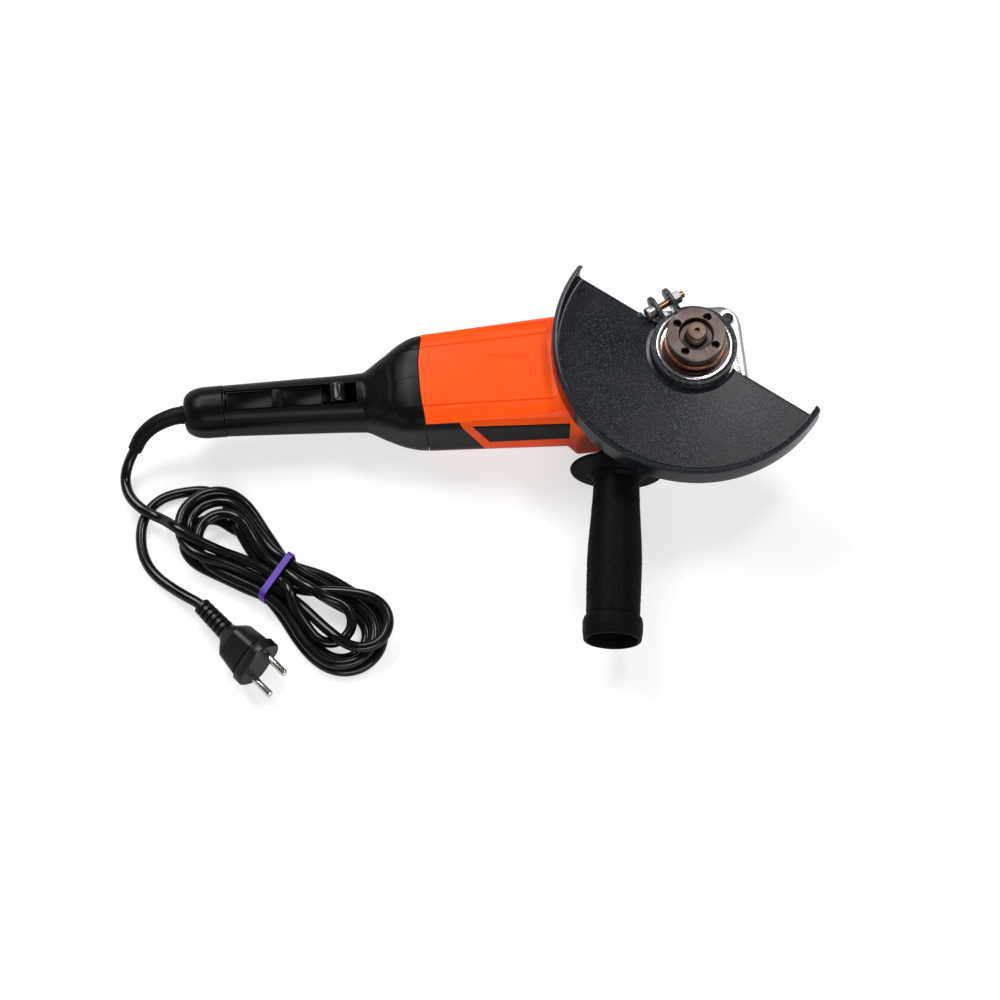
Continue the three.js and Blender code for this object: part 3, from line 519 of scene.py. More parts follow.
@effect("turning_marks", Centre=(0, 0, 0), Pitch=0.3)
def marks(tree, given, coords):
    """Fine rings that a lathe leaves round an upright axis."""
    out = vector_maths(tree, "SUBTRACT", coords, given["Centre"])
    radius = vector_maths(tree, "LENGTH", vector_maths(tree, "MULTIPLY", out, (1, 1, 0)))
    height = add(tree, "SeparateXYZ", Vector=out).outputs["Z"]
    rings = add(tree, "TexNoise", {"noise_dimensions": "1D"}, Detail=3.0,
                W=maths(tree, "MULTIPLY_ADD", height, 0.7, radius), Scale=per_size(tree, given["Pitch"]))
    return {"Height": rings.outputs["Fac"]}


# ---- finishes
class Finish:
    """A material under construction: a shader, and the colour, roughness and normal that feed it."""

    def __init__(self, name, colour, roughness, metallic=0.0, specular=0.5):
        self.material = bpy.data.materials.new(name)
        self.material.use_nodes = True
        self.material.diffuse_color = (*colour, 1)
        self.tree = self.material.node_tree
        self.tree.nodes.clear()
        self.shader = add(self.tree, "BsdfPrincipled", Metallic=metallic, Specular_IOR_Level=specular)
        add(self.tree, "OutputMaterial", Surface=self.shader)
        self.own = colour
        self.colour = (*colour, 1)
        self.roughness = roughness
        self.normal = None

    def effect(self, name, **inputs):
        node = add(self.tree, "Group", {"node_tree": EFFECTS[name]}, **inputs)
        return {socket.name: socket for socket in node.outputs}

    def place(self, axis):
        """The object coordinate along an axis."""
        coords = add(self.tree, "TexCoord").outputs["Object"]
        return add(self.tree, "SeparateXYZ", Vector=coords).outputs[axis]

    def tint(self, mask, colour, amount):
        """Mixes another colour in where the mask is: one of its own, or a factor on the finish's."""
        colour = colour if isinstance(colour, tuple) else lighter(self.own, colour)
        node = add(self.tree, "Mix", {"data_type": "RGBA"})
        factor = maths(self.tree, "MULTIPLY", mask, amount)
        for index, value in ((0, factor), (6, self.colour), (7, (*colour, 1))):
            plug_in(self.tree, node.inputs[index], value)
        self.colour = node.outputs[2]
        return self

    def roughen(self, mask, amount):
        """Raises or lowers the roughness where the mask is."""
        self.roughness = maths(self.tree, "MULTIPLY_ADD", mask, amount, self.roughness)
        return self

    def raise_by(self, height, depth):
        """Bump, with its depth in millimetres."""
        sockets = {"Height": height, "Distance": depth * MM}
        if self.normal:
            sockets["Normal"] = self.normal
        self.normal = add(self.tree, "Bump", **sockets).outputs[0]
        return self

    def done(self):
        for label, value in (
                ("Base Color", self.colour), ("Roughness", self.roughness), ("Normal", self.normal)):
            plug_in(self.tree, self.shader.inputs[label], value)
        return self.material


def lighter(colour, factor):
    return tuple(min(1.0, c * factor) for c in colour)


def moulded(name, colour, roughness, grain=0.35, depth=0.012, pale=1.6, **options):
    """Moulded plastic: fine grain, cloudy patches, light scuffs and rubbed edges."""
    finish = Finish(name, colour, roughness, **options)
    texture = finish.effect("grain", Size=grain)
    scuffs = finish.effect("scuffs", Size=7.0, Amount=0.5)
    wear = finish.effect("wear", Amount=0.6, Size=2.5)
    finish.tint(texture["Patches"], 0.86, 0.5)
    finish.tint(wear["Mask"], pale, 0.5)
    finish.roughen(texture["Patches"], 0.05).roughen(scuffs["Mask"], 0.08)
    return finish.raise_by(texture["Height"], depth).done()


def machined(name, colour, roughness, centre=(0, 0, 0), pitch=0.25, depth=0.006, stain=None, **options):
    """Turned steel: lathe rings, a broken oxide tint and bright worn edges."""
    finish = Finish(name, colour, roughness, metallic=1.0, **options)
    rings = finish.effect("marks", Centre=tuple(c * MM for c in centre), Pitch=pitch)
    texture = finish.effect("grain", Size=0.5, Detail=5.0)
    wear = finish.effect("wear", Amount=0.9, Size=1.5)
    if stain:
        finish.tint(texture["Patches"], stain, 0.8)
    finish.tint(wear["Mask"], 2.2, 0.6)
    finish.roughen(texture["Height"], 0.16).roughen(rings["Height"], 0.1)
    return finish.raise_by(rings["Height"], depth).raise_by(texture["Height"], 0.01).done()


def plated(name, colour, roughness, grain=0.3, depth=0.006, **options):
    """Plated or ground metal with a light grain."""
    finish = Finish(name, colour, roughness, metallic=1.0, **options)
    texture = finish.effect("grain", Size=grain, Detail=4.0)
    scuffs = finish.effect("scuffs", Size=2.5, Amount=0.6)
    finish.tint(texture["Patches"], 0.8, 0.6)
    finish.roughen(texture["Patches"], 0.1).roughen(scuffs["Mask"], 0.15)
    return finish.raise_by(texture["Height"], depth).done()


def cast_metal(name, colour, roughness):
    """Die-cast alloy: pits, fine grain and bright worn edges."""
    finish = Finish(name, colour, roughness, metallic=1.0)
    texture = finish.effect("grain", Size=0.45, Detail=4.0)
    pits = finish.effect("speckle", Size=1.1, Cover=0.3)
    wear = finish.effect("wear", Amount=0.8, Size=2.0)
    finish.tint(texture["Patches"], 0.84, 0.6)
    finish.tint(pits["Mask"], 0.6, 0.35)
    finish.tint(wear["Mask"], 1.4, 0.7)
    finish.roughen(texture["Patches"], 0.08).roughen(texture["Height"], 0.12)
    return finish.raise_by(texture["Height"], 0.015).raise_by(pits["Mask"], -0.012).done()


def guard_paint(name, colour, roughness):
    """Stoved paint with a speckled metallic sheen."""
    finish = Finish(name, colour, roughness, specular=0.24)
    flake = finish.effect("speckle", Size=0.9, Cover=0.6)
    texture = finish.effect("grain", Size=0.9, Detail=3.0)
    wear = finish.effect("wear", Amount=0.9, Size=1.4)
    finish.tint(flake["Mask"], (0.1, 0.108, 0.125), 0.6)
    finish.tint(texture["Patches"], 0.7, 0.5)
    finish.tint(wear["Mask"], (0.2, 0.21, 0.22), 0.6)
    finish.roughen(flake["Mask"], -0.1).roughen(texture["Patches"], 0.05)
    return finish.raise_by(texture["Height"], 0.03).raise_by(flake["Mask"], 0.012).done()


def pebbled(name, colour, roughness):
    """Grip moulding with a pebble texture."""
    finish = Finish(name, colour, roughness, specular=0.03)
    pebbles = finish.effect("pebble", Size=1.5, Valley=0.6)
    texture = finish.effect("grain", Size=0.4)
    finish.tint(pebbles["Cell"], 1.7, 0.5)
    finish.roughen(pebbles["Cell"], 0.12)
    return finish.raise_by(pebbles["Height"], 0.16).raise_by(texture["Height"], 0.02).done()


def cord_jacket(name, colour, roughness):
    """Smooth flexible cord jacket, slightly dusty."""
    finish = Finish(name, colour, roughness, specular=0.3)
    texture = finish.effect("grain", Size=0.7, Detail=2.0)
    scuffs = finish.effect("scuffs", Size=4.0, Amount=0.5)
    finish.tint(texture["Patches"], 1.5, 0.4)
    finish.roughen(texture["Patches"], 0.1).roughen(scuffs["Mask"], 0.12)
    return finish.raise_by(texture["Height"], 0.012).done()


def striped(name, colour, dark, pitch, metallic, roughness, axis=0, depth=0.04, soft=0.35):
    """Stacked sheets, wound wire or segments: even stripes along one axis."""
    finish = Finish(name, colour, roughness, metallic=metallic)
    turns = maths(finish.tree, "MULTIPLY", finish.place(axis), 1 / (pitch * MM))
    wave = maths(finish.tree, "PINGPONG", turns, 0.5)
    line = ramp(finish.tree, wave, soft * 0.2, soft)
    texture = finish.effect("grain", Size=0.8)
    finish.tint(maths(finish.tree, "SUBTRACT", 1.0, line), dark, 0.9)
    finish.tint(texture["Patches"], 0.7, 0.5)
    return finish.roughen(texture["Patches"], 0.12).raise_by(line, depth).done()


def segmented(name, colour, dark, segments):
    """Commutator bars round the motor axis."""
    finish = Finish(name, colour, 0.3, metallic=1.0)
    tree = finish.tree
    height = maths(tree, "SUBTRACT", finish.place("Z"), MOTOR_Z * MM)
    angle = maths(tree, "ARCTAN2", height, finish.place("Y"))
    wave = maths(tree, "PINGPONG", maths(tree, "MULTIPLY", angle, segments / (2 * pi)), 0.5)
    bars = ramp(tree, wave, 0.03, 0.09)
    texture = finish.effect("grain", Size=0.4)
    finish.tint(maths(tree, "SUBTRACT", 1.0, bars), dark, 1.0).tint(texture["Patches"], 0.6, 0.6)
    return finish.roughen(texture["Patches"], 0.15).raise_by(bars, 0.2).done()


def make_finishes():
    """Every finish on the machine, by name."""
    own = colours()
    shell, trim, sheet, tie = (tuple(colour) for colour in (own.shell, own.trim, own.sheet, own.tie))
    return {
        "orange": moulded("orange_shell", shell, 0.34, grain=0.5, depth=0.005, pale=1.5,
                          specular=0.12),
        "black": moulded("black_plastic", trim, 0.28, grain=0.3, depth=0.008, pale=3.0, specular=0.1),
        "gloss": moulded("gloss_black", lighter(trim, 0.9), 0.2, grain=0.6, depth=0.003, pale=4.0,
                         specular=0.3),
        "paddle": moulded("paddle_plastic", lighter(trim, 0.7), 0.22, grain=0.5, depth=0.003, pale=8.0,
                          specular=0.05),
        "plug": moulded("plug_plastic", lighter(trim, 1.6), 0.3, grain=0.4, depth=0.01, pale=3.0,
                        specular=0.24),
        "rubber": moulded("relief_rubber", lighter(trim, 0.9), 0.45, grain=0.35, depth=0.02, pale=2.0,
                          specular=0.12),
        "badge": moulded("badge_plate", lighter(trim, 1.3), 0.3, grain=0.35, depth=0.004, pale=2.0,
                         specular=0.06),
        "grip": pebbled("grip_moulding", trim, 0.38),
        "cast": cast_metal("cast_alloy", (0.7, 0.73, 0.76), 0.3),
        "neck": plated("machined_neck", (0.8, 0.8, 0.8), 0.14, grain=0.25, depth=0.002),
        "sheet": guard_paint("guard_paint", sheet, 0.2),
        "collar": guard_paint("collar_paint", lighter(sheet, 0.4), 0.24),
        "nut": machined("nut_steel", (0.13, 0.105, 0.1), 0.34, stain=(0.09, 0.062, 0.055)),
        "thread": machined("spindle_steel", (0.15, 0.105, 0.085), 0.3, stain=(0.085, 0.05, 0.036)),
        "copper": machined("flange_steel", (0.4, 0.17, 0.1), 0.3, stain=(0.2, 0.08, 0.045)),
        "steel": plated("bright_steel", (0.48, 0.48, 0.5), 0.24),
        "ground": plated("ground_steel", (0.5, 0.5, 0.52), 0.34, grain=0.6),
        "oxide": plated("black_oxide", (0.045, 0.045, 0.05), 0.38),
        "zinc": plated("yellow_zinc", (0.34, 0.2, 0.1), 0.26),
        "nickel": plated("nickel", (0.72, 0.7, 0.66), 0.14, grain=0.8, depth=0.003),
        "brass": plated("brass_sheet", (0.68, 0.46, 0.17), 0.3),
        "carbon": moulded("carbon", (0.02, 0.02, 0.022), 0.6, grain=0.5, depth=0.04),
        "laminations": striped("laminations", (0.32, 0.33, 0.34), (0.05, 0.05, 0.055), 0.7, 1.0, 0.45),
        "windings": striped("windings", (0.5, 0.2, 0.07), (0.09, 0.03, 0.012), 0.9, 0.8, 0.34, axis=2),
        "segments": segmented("commutator_bars", (0.6, 0.3, 0.14), (0.02, 0.015, 0.012), 24),
        "cord": cord_jacket("cord_jacket", lighter(trim, 0.9), 0.15),
        "tie": moulded("tie_strap", tie, 0.38, grain=0.5, depth=0.01, pale=1.5),
    }


# ---- cord
# The route out of the strain relief and the route into the plug, listed point by point.
LEAD_ROUTE = (
    (-368, -1.6, 36.2), (-377, -4.5, 33.5), (-386, -9.5, 27.5), (-392.25, -15.8, 19.7), (-397.5, -22.5, 13.5),
    (-400.6, -31, 10), (-400, -41, 9.6), (-396, -50, 10.8), (-389.5, -57.5, 11.9), (-382, -63.5, 12.4),
    (-376.5, -67.2, 13))
PLUG_ROUTE = (
    (-359, -44.6, 4), (-367.5, -45.4, 3.9), (-376, -48, 3.8), (-383.5, -53, 3.8), (-388.6, -60, 3.8),
    (-391.6, -68.5, 3.8), (-392.4, -78, 3.8), (-391.3, -88, 3.8), (-387.5, -98, 3.9), (-381, -107, 4.6),
    (-372, -115.6, 6.3), (-362.4, -123.6, 9), (-352.7, -131.2, 11), (-346, -139.7, 12.3))

HANK_CENTRE = Vector((-299, -116, 0))
HANK_ALONG = Vector((cos(radians(-38.3)), sin(radians(-38.3)), 0))
HANK_ACROSS = UP.cross(HANK_ALONG)

# End loops of the bundle: how far out, half width, sideways shift, height. The bundle's own frame.
NEAR_LOOPS = ((68, 17, -9, 12), (83, 22, -8, 12), (75, 19, -9, 4), (89, 25, -9, 4), (86, 19, 5, 18))
FAR_LOOPS = ((67, 17, 3, 12), (78, 21, 3, 10), (73, 19, 6, 4), (84, 24, 5, 16))
# Where the strands pass the tie: (sideways, height), going out and coming back.
TIE_OUT = ((-6, 17), (-11.1, 10.4), (-7.4, 3.9), (-14.8, 3.9), (-3.7, 10.4))
TIE_BACK = ((3.7, 10.4), (11.1, 10.4), (7.4, 3.9), (14.8, 3.9), (0, 3.9))
INTO_TIE = ((-64, -13, 20), (-32, -10, 18))
OUT_OF_TIE = ((-27, 9, 4), (-46, 19, 4.1), (-62, 28, 4.1), (-74, 31, 4.1), (-83.5, 26, 4))
TIE_HALF = 18.3  # half width between the sides of the tie
TIE_TOP = 17.5

# How the cord settles, in millimetres and shares of a round.
TIGHTEST_BEND = 17.0
FALL = 0.05  # speed gained
SPEED_KEPT = 0.6
FASTEST = 0.8
SPREADING = 1.2  # share of an overlap taken up
STIFFNESS = 0.4
EVENNESS = 0.1
SMOOTHING = 0.06


def hank_point(along, across, height):
    return HANK_CENTRE + HANK_ALONG * along + HANK_ACROSS * across + UP * height


def eased(t):
    t = min(1.0, max(0.0, t))
    return t * t * (3 - 2 * t)


def end_loop(direction, loop, start, end):
    """Points of one end loop of the bundle, from one pass of the tie to the next."""
    far, wide, shift, top = loop
    side = 1 if start[0] > end[0] else -1
    cap = 1.05 * wide / far  # share of the reach that the round end takes

    def leg(tie, way):
        points = []
        for t in (0.2, 0.4, 1 - cap, 1 - cap * 0.42, 1 - cap * 0.1):
            spread = eased(t / (1 - cap) * 0.95)
            bulge = sqrt(max(0.0, 1 - (max(0.0, t - (1 - cap)) / cap) ** 2))
            across = tie[0] * (1 - spread) + (shift + way * wide * bulge) * spread
            points.append((direction * far * t, across, tie[1] + (top - tie[1]) * eased(t * 1.3)))
        return points

    return leg(start, side) + [(direction * far, shift, top)] + leg(end, -side)[::-1]


def bundle_route():
    """The whole bundle, out and back through the tie, before it settles."""
    points = list(INTO_TIE)
    for turn, loop in enumerate(NEAR_LOOPS):
        points.append((0, *TIE_OUT[turn]))
        points += end_loop(1, loop, TIE_OUT[turn], TIE_BACK[turn])
        points.append((0, *TIE_BACK[turn]))
        if turn < len(FAR_LOOPS):
            points += end_loop(-1, FAR_LOOPS[turn], TIE_BACK[turn], TIE_OUT[turn + 1])
    points += OUT_OF_TIE
    return [tuple(hank_point(*p)) for p in points]


def smooth_route(points, step):
    """A centripetal Catmull-Rom curve through points, resampled at even steps."""
    def between(a, b, time_a, time_b, now):
        return ((time_b - now) * a + (now - time_a) * b) / (time_b - time_a)

    p = np.array(points, float)
    p = np.vstack([2 * p[0] - p[1], p, 2 * p[-1] - p[-2]])
    line = []
    for i in range(1, len(p) - 2):
        p0, p1, p2, p3 = p[i - 1:i + 3]
        gaps = np.sqrt(np.linalg.norm(np.diff(p[i - 1:i + 3], axis=0), axis=1))
        t0, t1, t2, t3 = np.concatenate([[0], np.cumsum(gaps)])
        for now in np.linspace(t1, t2, 24, endpoint=False):
            first = between(p0, p1, t0, t1, now)
            second = between(p1, p2, t1, t2, now)
            third = between(p2, p3, t2, t3, now)
            line.append(between(
                between(first, second, t0, t2, now), between(second, third, t1, t3, now), t1, t2, now))
    line.append(p[-2])
    return even_steps(np.array(line), step)


def even_steps(line, step):
    travel = np.concatenate([[0], np.cumsum(np.linalg.norm(np.diff(line, axis=0), axis=1))])
    at = np.linspace(0, travel[-1], max(2, int(round(travel[-1] / step)) + 1))
    return np.stack([np.interp(at, travel, line[:, k]) for k in range(3)], 1)


def between_neighbours(line, span=1):
    """How far each point stands from the middle between its neighbours a span away."""
    bend = np.zeros_like(line)
    bend[span:-span] = (line[:-2 * span] + line[2 * span:]) / 2 - line[span:-span]
    return bend


def settle_cord(line, held, rounds, reach):
    """Lets a bundled cord settle: it keeps its length, lies on the floor and on itself and bends evenly.

    `held` marks the points that stay where they are. The strands pass through a tie at the middle of
    the bundle, which draws tight over the first half of the rounds.
    """
    count = len(line)
    index = np.arange(count)
    step = np.linalg.norm(np.diff(line, axis=0), axis=1).mean()
    free = (~held).astype(float)[:, None]
    loose = free[:, 0] > 0
    bow = step * step / TIGHTEST_BEND / 2
    laid = line.copy()
    speed = np.zeros_like(line)
    first, second = np.triu_indices(count, int(ceil(2.2 * reach / step)) + 1)
    links = [index[start:count - 1:2] for start in (0, 1)]
    centre, along, across = (np.array(v[:2]) for v in (HANK_CENTRE, HANK_ALONG, HANK_ACROSS))
    radius = reach / 2
    for turn in range(rounds):
        before = line.copy()
        speed[:, 2] -= FALL
        line = line + np.clip(speed, -1.0, 1.0) * free
        if turn % 4 == 0:
            apart = line[first] - line[second]
            close = np.einsum("ij,ij->i", apart, apart) < (1.5 * reach) ** 2
            a, b = first[close], second[close]
        grip = min(1, 2 * turn / rounds)
        half = TIE_HALF - radius + (1 - grip) * 4
        top = TIE_TOP - radius + (1 - grip) * 8
        for _ in range(6):
            apart = line[a] - line[b]
            length = np.maximum(np.linalg.norm(apart, axis=1), 1e-6)
            hit = length < reach
            push = ((reach - length) / length * 0.5)[hit, None] * apart[hit]
            moved, hits = np.zeros_like(line), np.zeros(count)
            for ends, way in ((a[hit], 1), (b[hit], -1)):
                np.add.at(moved, ends, way * push)
                np.add.at(hits, ends, 1)
            line += free * moved / np.maximum(hits, 1)[:, None] * SPREADING
            bend = between_neighbours(line)
            size = np.linalg.norm(bend, axis=1, keepdims=True)
            excess = np.clip(size - bow, 0, None) / np.maximum(size, 1e-9)
            line += free * (bend * excess * STIFFNESS - between_neighbours(bend) * EVENNESS)
            for span in (1, 3, 5):
                line += free * between_neighbours(line - laid, span) * SMOOTHING * (1 - turn / rounds)
            for i in links:
                pull = line[i + 1] - line[i]
                length = np.linalg.norm(pull, axis=1)
                share = ((length - step) / length)[:, None] * pull / np.maximum(free[i] + free[i + 1], 1)
                line[i] += share * free[i]
                line[i + 1] -= share * free[i + 1]
            offset = line[:, :2] - centre
            sideways = offset @ across
            inside = (np.abs(offset @ along) < 6) & loose
            shift = (np.clip(sideways, -half, half) - sideways)[:, None] * across
            line[inside, :2] += shift[inside]
            line[inside, 2] = np.minimum(line[inside, 2], top)
            line[loose, 2] = np.maximum(line[loose, 2], radius + 0.1)
        speed = (line - before) * SPEED_KEPT
        fast = np.linalg.norm(speed, axis=1, keepdims=True)
        speed *= np.minimum(1, FASTEST / np.maximum(fast, 1e-9)) * free
    return line


def settled_cord():
    """The centre line of the whole cord, in millimetres."""
    step = sizes().cord_step / MM
    reach = sizes().cord_diameter / MM
    line = smooth_route([*LEAD_ROUTE, *bundle_route(), *PLUG_ROUTE], step)
    ends = [int(np.linalg.norm(line - np.array(p), axis=1).argmin()) for p in (LEAD_ROUTE[-3], PLUG_ROUTE[3])]
    held = np.ones(len(line), bool)
    held[ends[0] + 1:ends[1]] = False
    return settle_cord(line, held, sizes().settle_rounds, reach)


def cord_curve(name, line, diameter, material):
    """A round cord on a smooth curve through the points of its centre line."""
    curve = with_settings(bpy.data.curves.new(name, "CURVE"), {
        "dimensions": "3D", "bevel_depth": diameter / 2, "bevel_resolution": 5, "resolution_u": 3,
        "use_fill_caps": True})
    spline = curve.splines.new("NURBS")
    spline.points.add(len(line) - 1)
    for point, place in zip(spline.points, line):
        point.co = (place[0] * MM, place[1] * MM, place[2] * MM, 1)
    spline.order_u = 4
    spline.use_endpoint_u = True
    curve.materials.append(material)
    return put(name, curve)


def tube_along(name, line, radii, sides):
    """A round closed tube along a line, with a radius at each point."""
    line = [Vector(p) for p in line]
    rings = []
    side = None
    for i, centre in enumerate(line):
        way = (line[min(i + 1, len(line) - 1)] - line[max(i - 1, 0)]).normalized()
        side = way.orthogonal() if side is None else side - way * side.dot(way)
        side.normalize()
        other = way.cross(side)
        rings.append([centre + side * x + other * y for x, y in circle(radii[i], sides)])
    return loft(name, rings, merge=0.002)


PLUG_PLACE = Vector((-352, -132, 11.1))


def plug_frame():
    """The plug's own frame: +X out of its pins, +Y from pin to pin."""
    heading, pitch, roll = (radians(a) for a in (-52.2, 6.3, 36))
    forward = Vector((cos(heading) * cos(pitch), sin(heading) * cos(pitch), sin(pitch)))
    side = Vector((-sin(heading), cos(heading), 0))
    across = side * cos(roll) + forward.cross(side) * sin(roll)
    turn = Matrix((forward, across, forward.cross(across))).transposed().to_4x4()
    return Matrix.Translation(PLUG_PLACE) @ turn


def placed(name, place, stations):
    """A loft of flattened round sections along a frame's +X: (x, half width, half height, corner)."""
    rings = []
    for x, half, high, corner in stations:
        corner = min(corner, half - 0.01, high - 0.01)
        section = body_section(half, -high, high, corner, corner)
        rings.append([place @ Vector((x, y, z)) for y, z in section])
    return loft(name, rings)


# ---- gear head
COVER_SCREWS = ((27, 24), (27, -24), (-27, 24), (-27, -24))
HOUSING_SCREWS = ((37, 60), (-37, 60), (37, 11.5), (-37, 11.5))


def handle_point(along, side=-1):
    """A point on the axis of a handle boss, `along` mm out from its face; side -1 is towards -Y."""
    reach = BOSS_LENGTH + along
    return Vector((HANDLE_X - sin(HANDLE_RAKE) * reach, side * (BOSS_Y + cos(HANDLE_RAKE) * reach), MOTOR_Z))


def head_plan(half, corner, rear=-36.0):
    return rounded([
        (half, half, corner), (rear, half, 3), (rear, -half, 3), (half, -half, corner)], corner, 8)


def at_x(x, outline):
    """An outline of (y, z) stood across the machine."""
    return [Vector((x, y, z)) for y, z in outline]


def body_section(half, low, high, top, base, inset=0.0):
    """Rounded cross-section of the long body as (y, z) points."""
    outline = []
    for y, z, r, start in ((half - top, high - top, top, 0), (top - half, high - top, top, 90),
                           (base - half, low + base, base, 180), (half - base, low + base, base, 270)):
        for step in range(9):
            a = radians(start + 90 * step / 8)
            outline.append((y + (r - inset) * cos(a), z + (r - inset) * sin(a)))
    return outline


def body_loft(name, stations, inset=0.0):
    """A loft along X of (x, half width, low, high, top corner, bottom corner)."""
    return loft(name, [at_x(x, body_section(*section, inset)) for x, *section in stations])


def make_gear_housing():
    plan = head_plan(37, 16)
    base = head_plan(33, 14)
    head = loft("gear_housing_cast", [[Vector((x, y, z)) for x, y in ring] for ring, z in
                                      ((base, 0), (head_plan(36, 15.5), 4.5), (plan, 9), (plan, HEAD_TOP_Z))])
    throat = body_loft("throat", ((FLANGE_X + 5, 42, 0, 66, 18, 22), (-50, 37, 0, 62, 14, 16),
                                  (-20, 36.5, 0, HEAD_TOP_Z, 12, 12)))
    flange = body_loft("flange", ((FLANGE_X, 46, 0, 69, 18, 20), (FLANGE_X + 5, 46, 0, 69, 18, 20),
                                  (FLANGE_X + 6, 45, 0, 68, 17, 19)))
    join(head, throat, flange)
    for side in (-1, 1):
        foot, face = handle_point(-20, side), handle_point(0, side)
        join(head, bar("boss", foot, face, BOSS_R),
             bar("boss_foot", foot, handle_point(-6, side), BOSS_R + 3.5, end_radius=BOSS_R))
        for x in (-38, -18, 2, 22):  # cooling ribs down the flanks
            join(head, block("rib", (x - 1.1, x + 1.1), (side * 30, side * 38), (14, 56)))
    fused(head, 1.15, 4)
    level = [block("under", (-90, 60), (-70, 70), (-8, 0.02)),
             block("over", (-60, 60), (-70, 70), (HEAD_TOP_Z, 80)),
             block("behind", (-90, FLANGE_X), (-BOSS_Y - 0.5, BOSS_Y + 0.5), (-8, 80))]
    cut(head, *level, turned("gear_well", [(0, 8), (31.5, 8), (31.5, 64), (0, 64)], fillet=0))
    for side in (-1, 1):
        cut(head, bar("socket", handle_point(-16, side), handle_point(1, side), 7.4),
            bar("socket_lip", handle_point(-1.2, side), handle_point(0.2, side), 7.4, end_radius=8.8))
    cut(
        head, bore("shaft_bore", FLANGE_X + 12, -20, 16.4),
        bore("fan_bore", FLANGE_X - 1, FLANGE_X + 12.5, 23), bar("button_bore", (20, 0, -1), (20, 0, 9), 7.5))
    for x, y in COVER_SCREWS:
        cut(head, bar("cover_bolt", (x, y, 48), (x, y, HEAD_TOP_Z + 1), 2.4, 16))
    for y, z in HOUSING_SCREWS:
        cut(head, bore("bolt", FLANGE_X - 1, -40, 2.6, 16, y, z),
            bore("bolt_seat", FLANGE_X + 3.5, -40, 4.8, 24, y, z))
    join(head, turned("bearing_seat", [(9.3, 7.5), (12.5, 7.5), (12.5, 22), (9.3, 22)], fillet=0.3))
    fit(head, "machine", "gear_housing", finish="cast", sharp=50)


def make_bearing_cover():
    half = 34.5
    outline = rounded([(half, half), (-half, half), (-half, -half), (half, -half)], 15, 10)
    cover = bevelled(prism("bearing_cover_cast", outline, HEAD_TOP_Z + GAP, COVER_TOP_Z), 1.0, 3)
    neck = turned("neck", [(0, COVER_TOP_Z - 1), (30, COVER_TOP_Z - 1), (30, COVER_TOP_Z + 0.6, 1.2),
                           (NECK_R, COVER_TOP_Z + 1.4, 1.5), (NECK_R, NECK_TOP_Z, 0.8), (0, NECK_TOP_Z)],
                  fillet=0.6, sides=128)
    join(cover, neck)
    hollow = turned("neck_hollow", [
        (0, 60), (16.3, 60), (16.3, 74.6), (11, 74.6), (11, 76.6), (19.4, 76.6, 3), (21, 80, 0.6),
        (23.6, 80, 0.8), (24.1, NECK_TOP_Z - 0.8, 0.5), (24.9, NECK_TOP_Z + 1), (0, NECK_TOP_Z + 1)],
        sides=128)
    holes = [bar("cover_bolt", (x, y, 60), (x, y, 72), 2.4, 24) for x, y in COVER_SCREWS]
    seats = [turned("seat", [(0, 0), (5, 0), (5.6, 2), (0, 2)], fillet=0.2, sides=32,
                    place=(x, y, COVER_TOP_Z - 0.01)) for x, y in COVER_SCREWS]
    cut(cover, hollow, *holes, *seats)
    two_finishes(cover, "cast", "neck", lambda place: hypot(place.x, place.y) < 27.5)
    fit(cover, "machine", "bearing_cover", slot="cast_alloy", sharp=40)


def make_cover_screws():
    """The four cover screws: one screw on each point, with its slots turned by chance."""
    screw = turned("cover_screw", [(0, -12), (1.9, -12), (1.9, GAP), (4, GAP), (4, 2.1, 0.8), (2.6, 2.9, 0.8),
                                   (0, 2.9)], fillet=0.3, sides=40)
    narrow, long = (-0.45, 0.45), (-2.2, 2.2)
    cut(screw, join(block("slot", narrow, long, (1.6, 4)), block("slot", long, narrow, (1.6, 4))))
    places = [(x, y, COVER_TOP_Z) for x, y in COVER_SCREWS]
    on_points("cover_screw", places, screw, "oxide", "black_oxide", seed=4)


def make_lock_button():
    button = turned("spindle_lock_cap", [
        (0, 1.3), (4.6, 1.3, 0.5), (4.9, 0.8, 0.3), (6.4, 0.8, 0.6), (7, 2), (7, 9.5), (3, 9.5), (3, 40.5),
        (0, 40.5)], fillet=0.3, place=(20, 0, 0))
    fit(button, "spindle_lock", "spindle_lock_button", finish="black")


class GRINDER_OT_gear_head(bpy.types.Operator):
    """Make the cast gear housing, the bearing cover with its neck and the cover screws"""

    bl_idname = "grinder.gear_head"
    bl_label = "Gear head"

    def execute(self, context):
        make_gear_housing()
        make_bearing_cover()
        make_cover_screws()
        make_lock_button()
        return {"FINISHED"}


# ---- geometry nodes
SHAPE = "NodeSocketGeometry"
WHOLE = "NodeSocketInt"


PATTERNS = {}


def pattern(name, **inputs):
    """Makes a geometry group from a function, kept under the function's name, with a finish as an input.

    The function takes the tree and the group's inputs, and returns instances, which are made real here.
    """
    def keep(recipe):
        sockets = {**inputs, "Finish": ("NodeSocketMaterial", None)}
        tree, given, result = new_tree(name, "GeometryNodeTree", sockets, {"Geometry": SHAPE})
        real = add(tree, "GeometryNodeRealizeInstances", Geometry=recipe(tree, given.outputs))
        finish = add(tree, "GeometryNodeSetMaterial", Geometry=real, Material=given.outputs["Finish"])
        plug_in(tree, result.inputs["Geometry"], finish)
        PATTERNS[recipe.__name__] = tree
        return recipe

    return keep


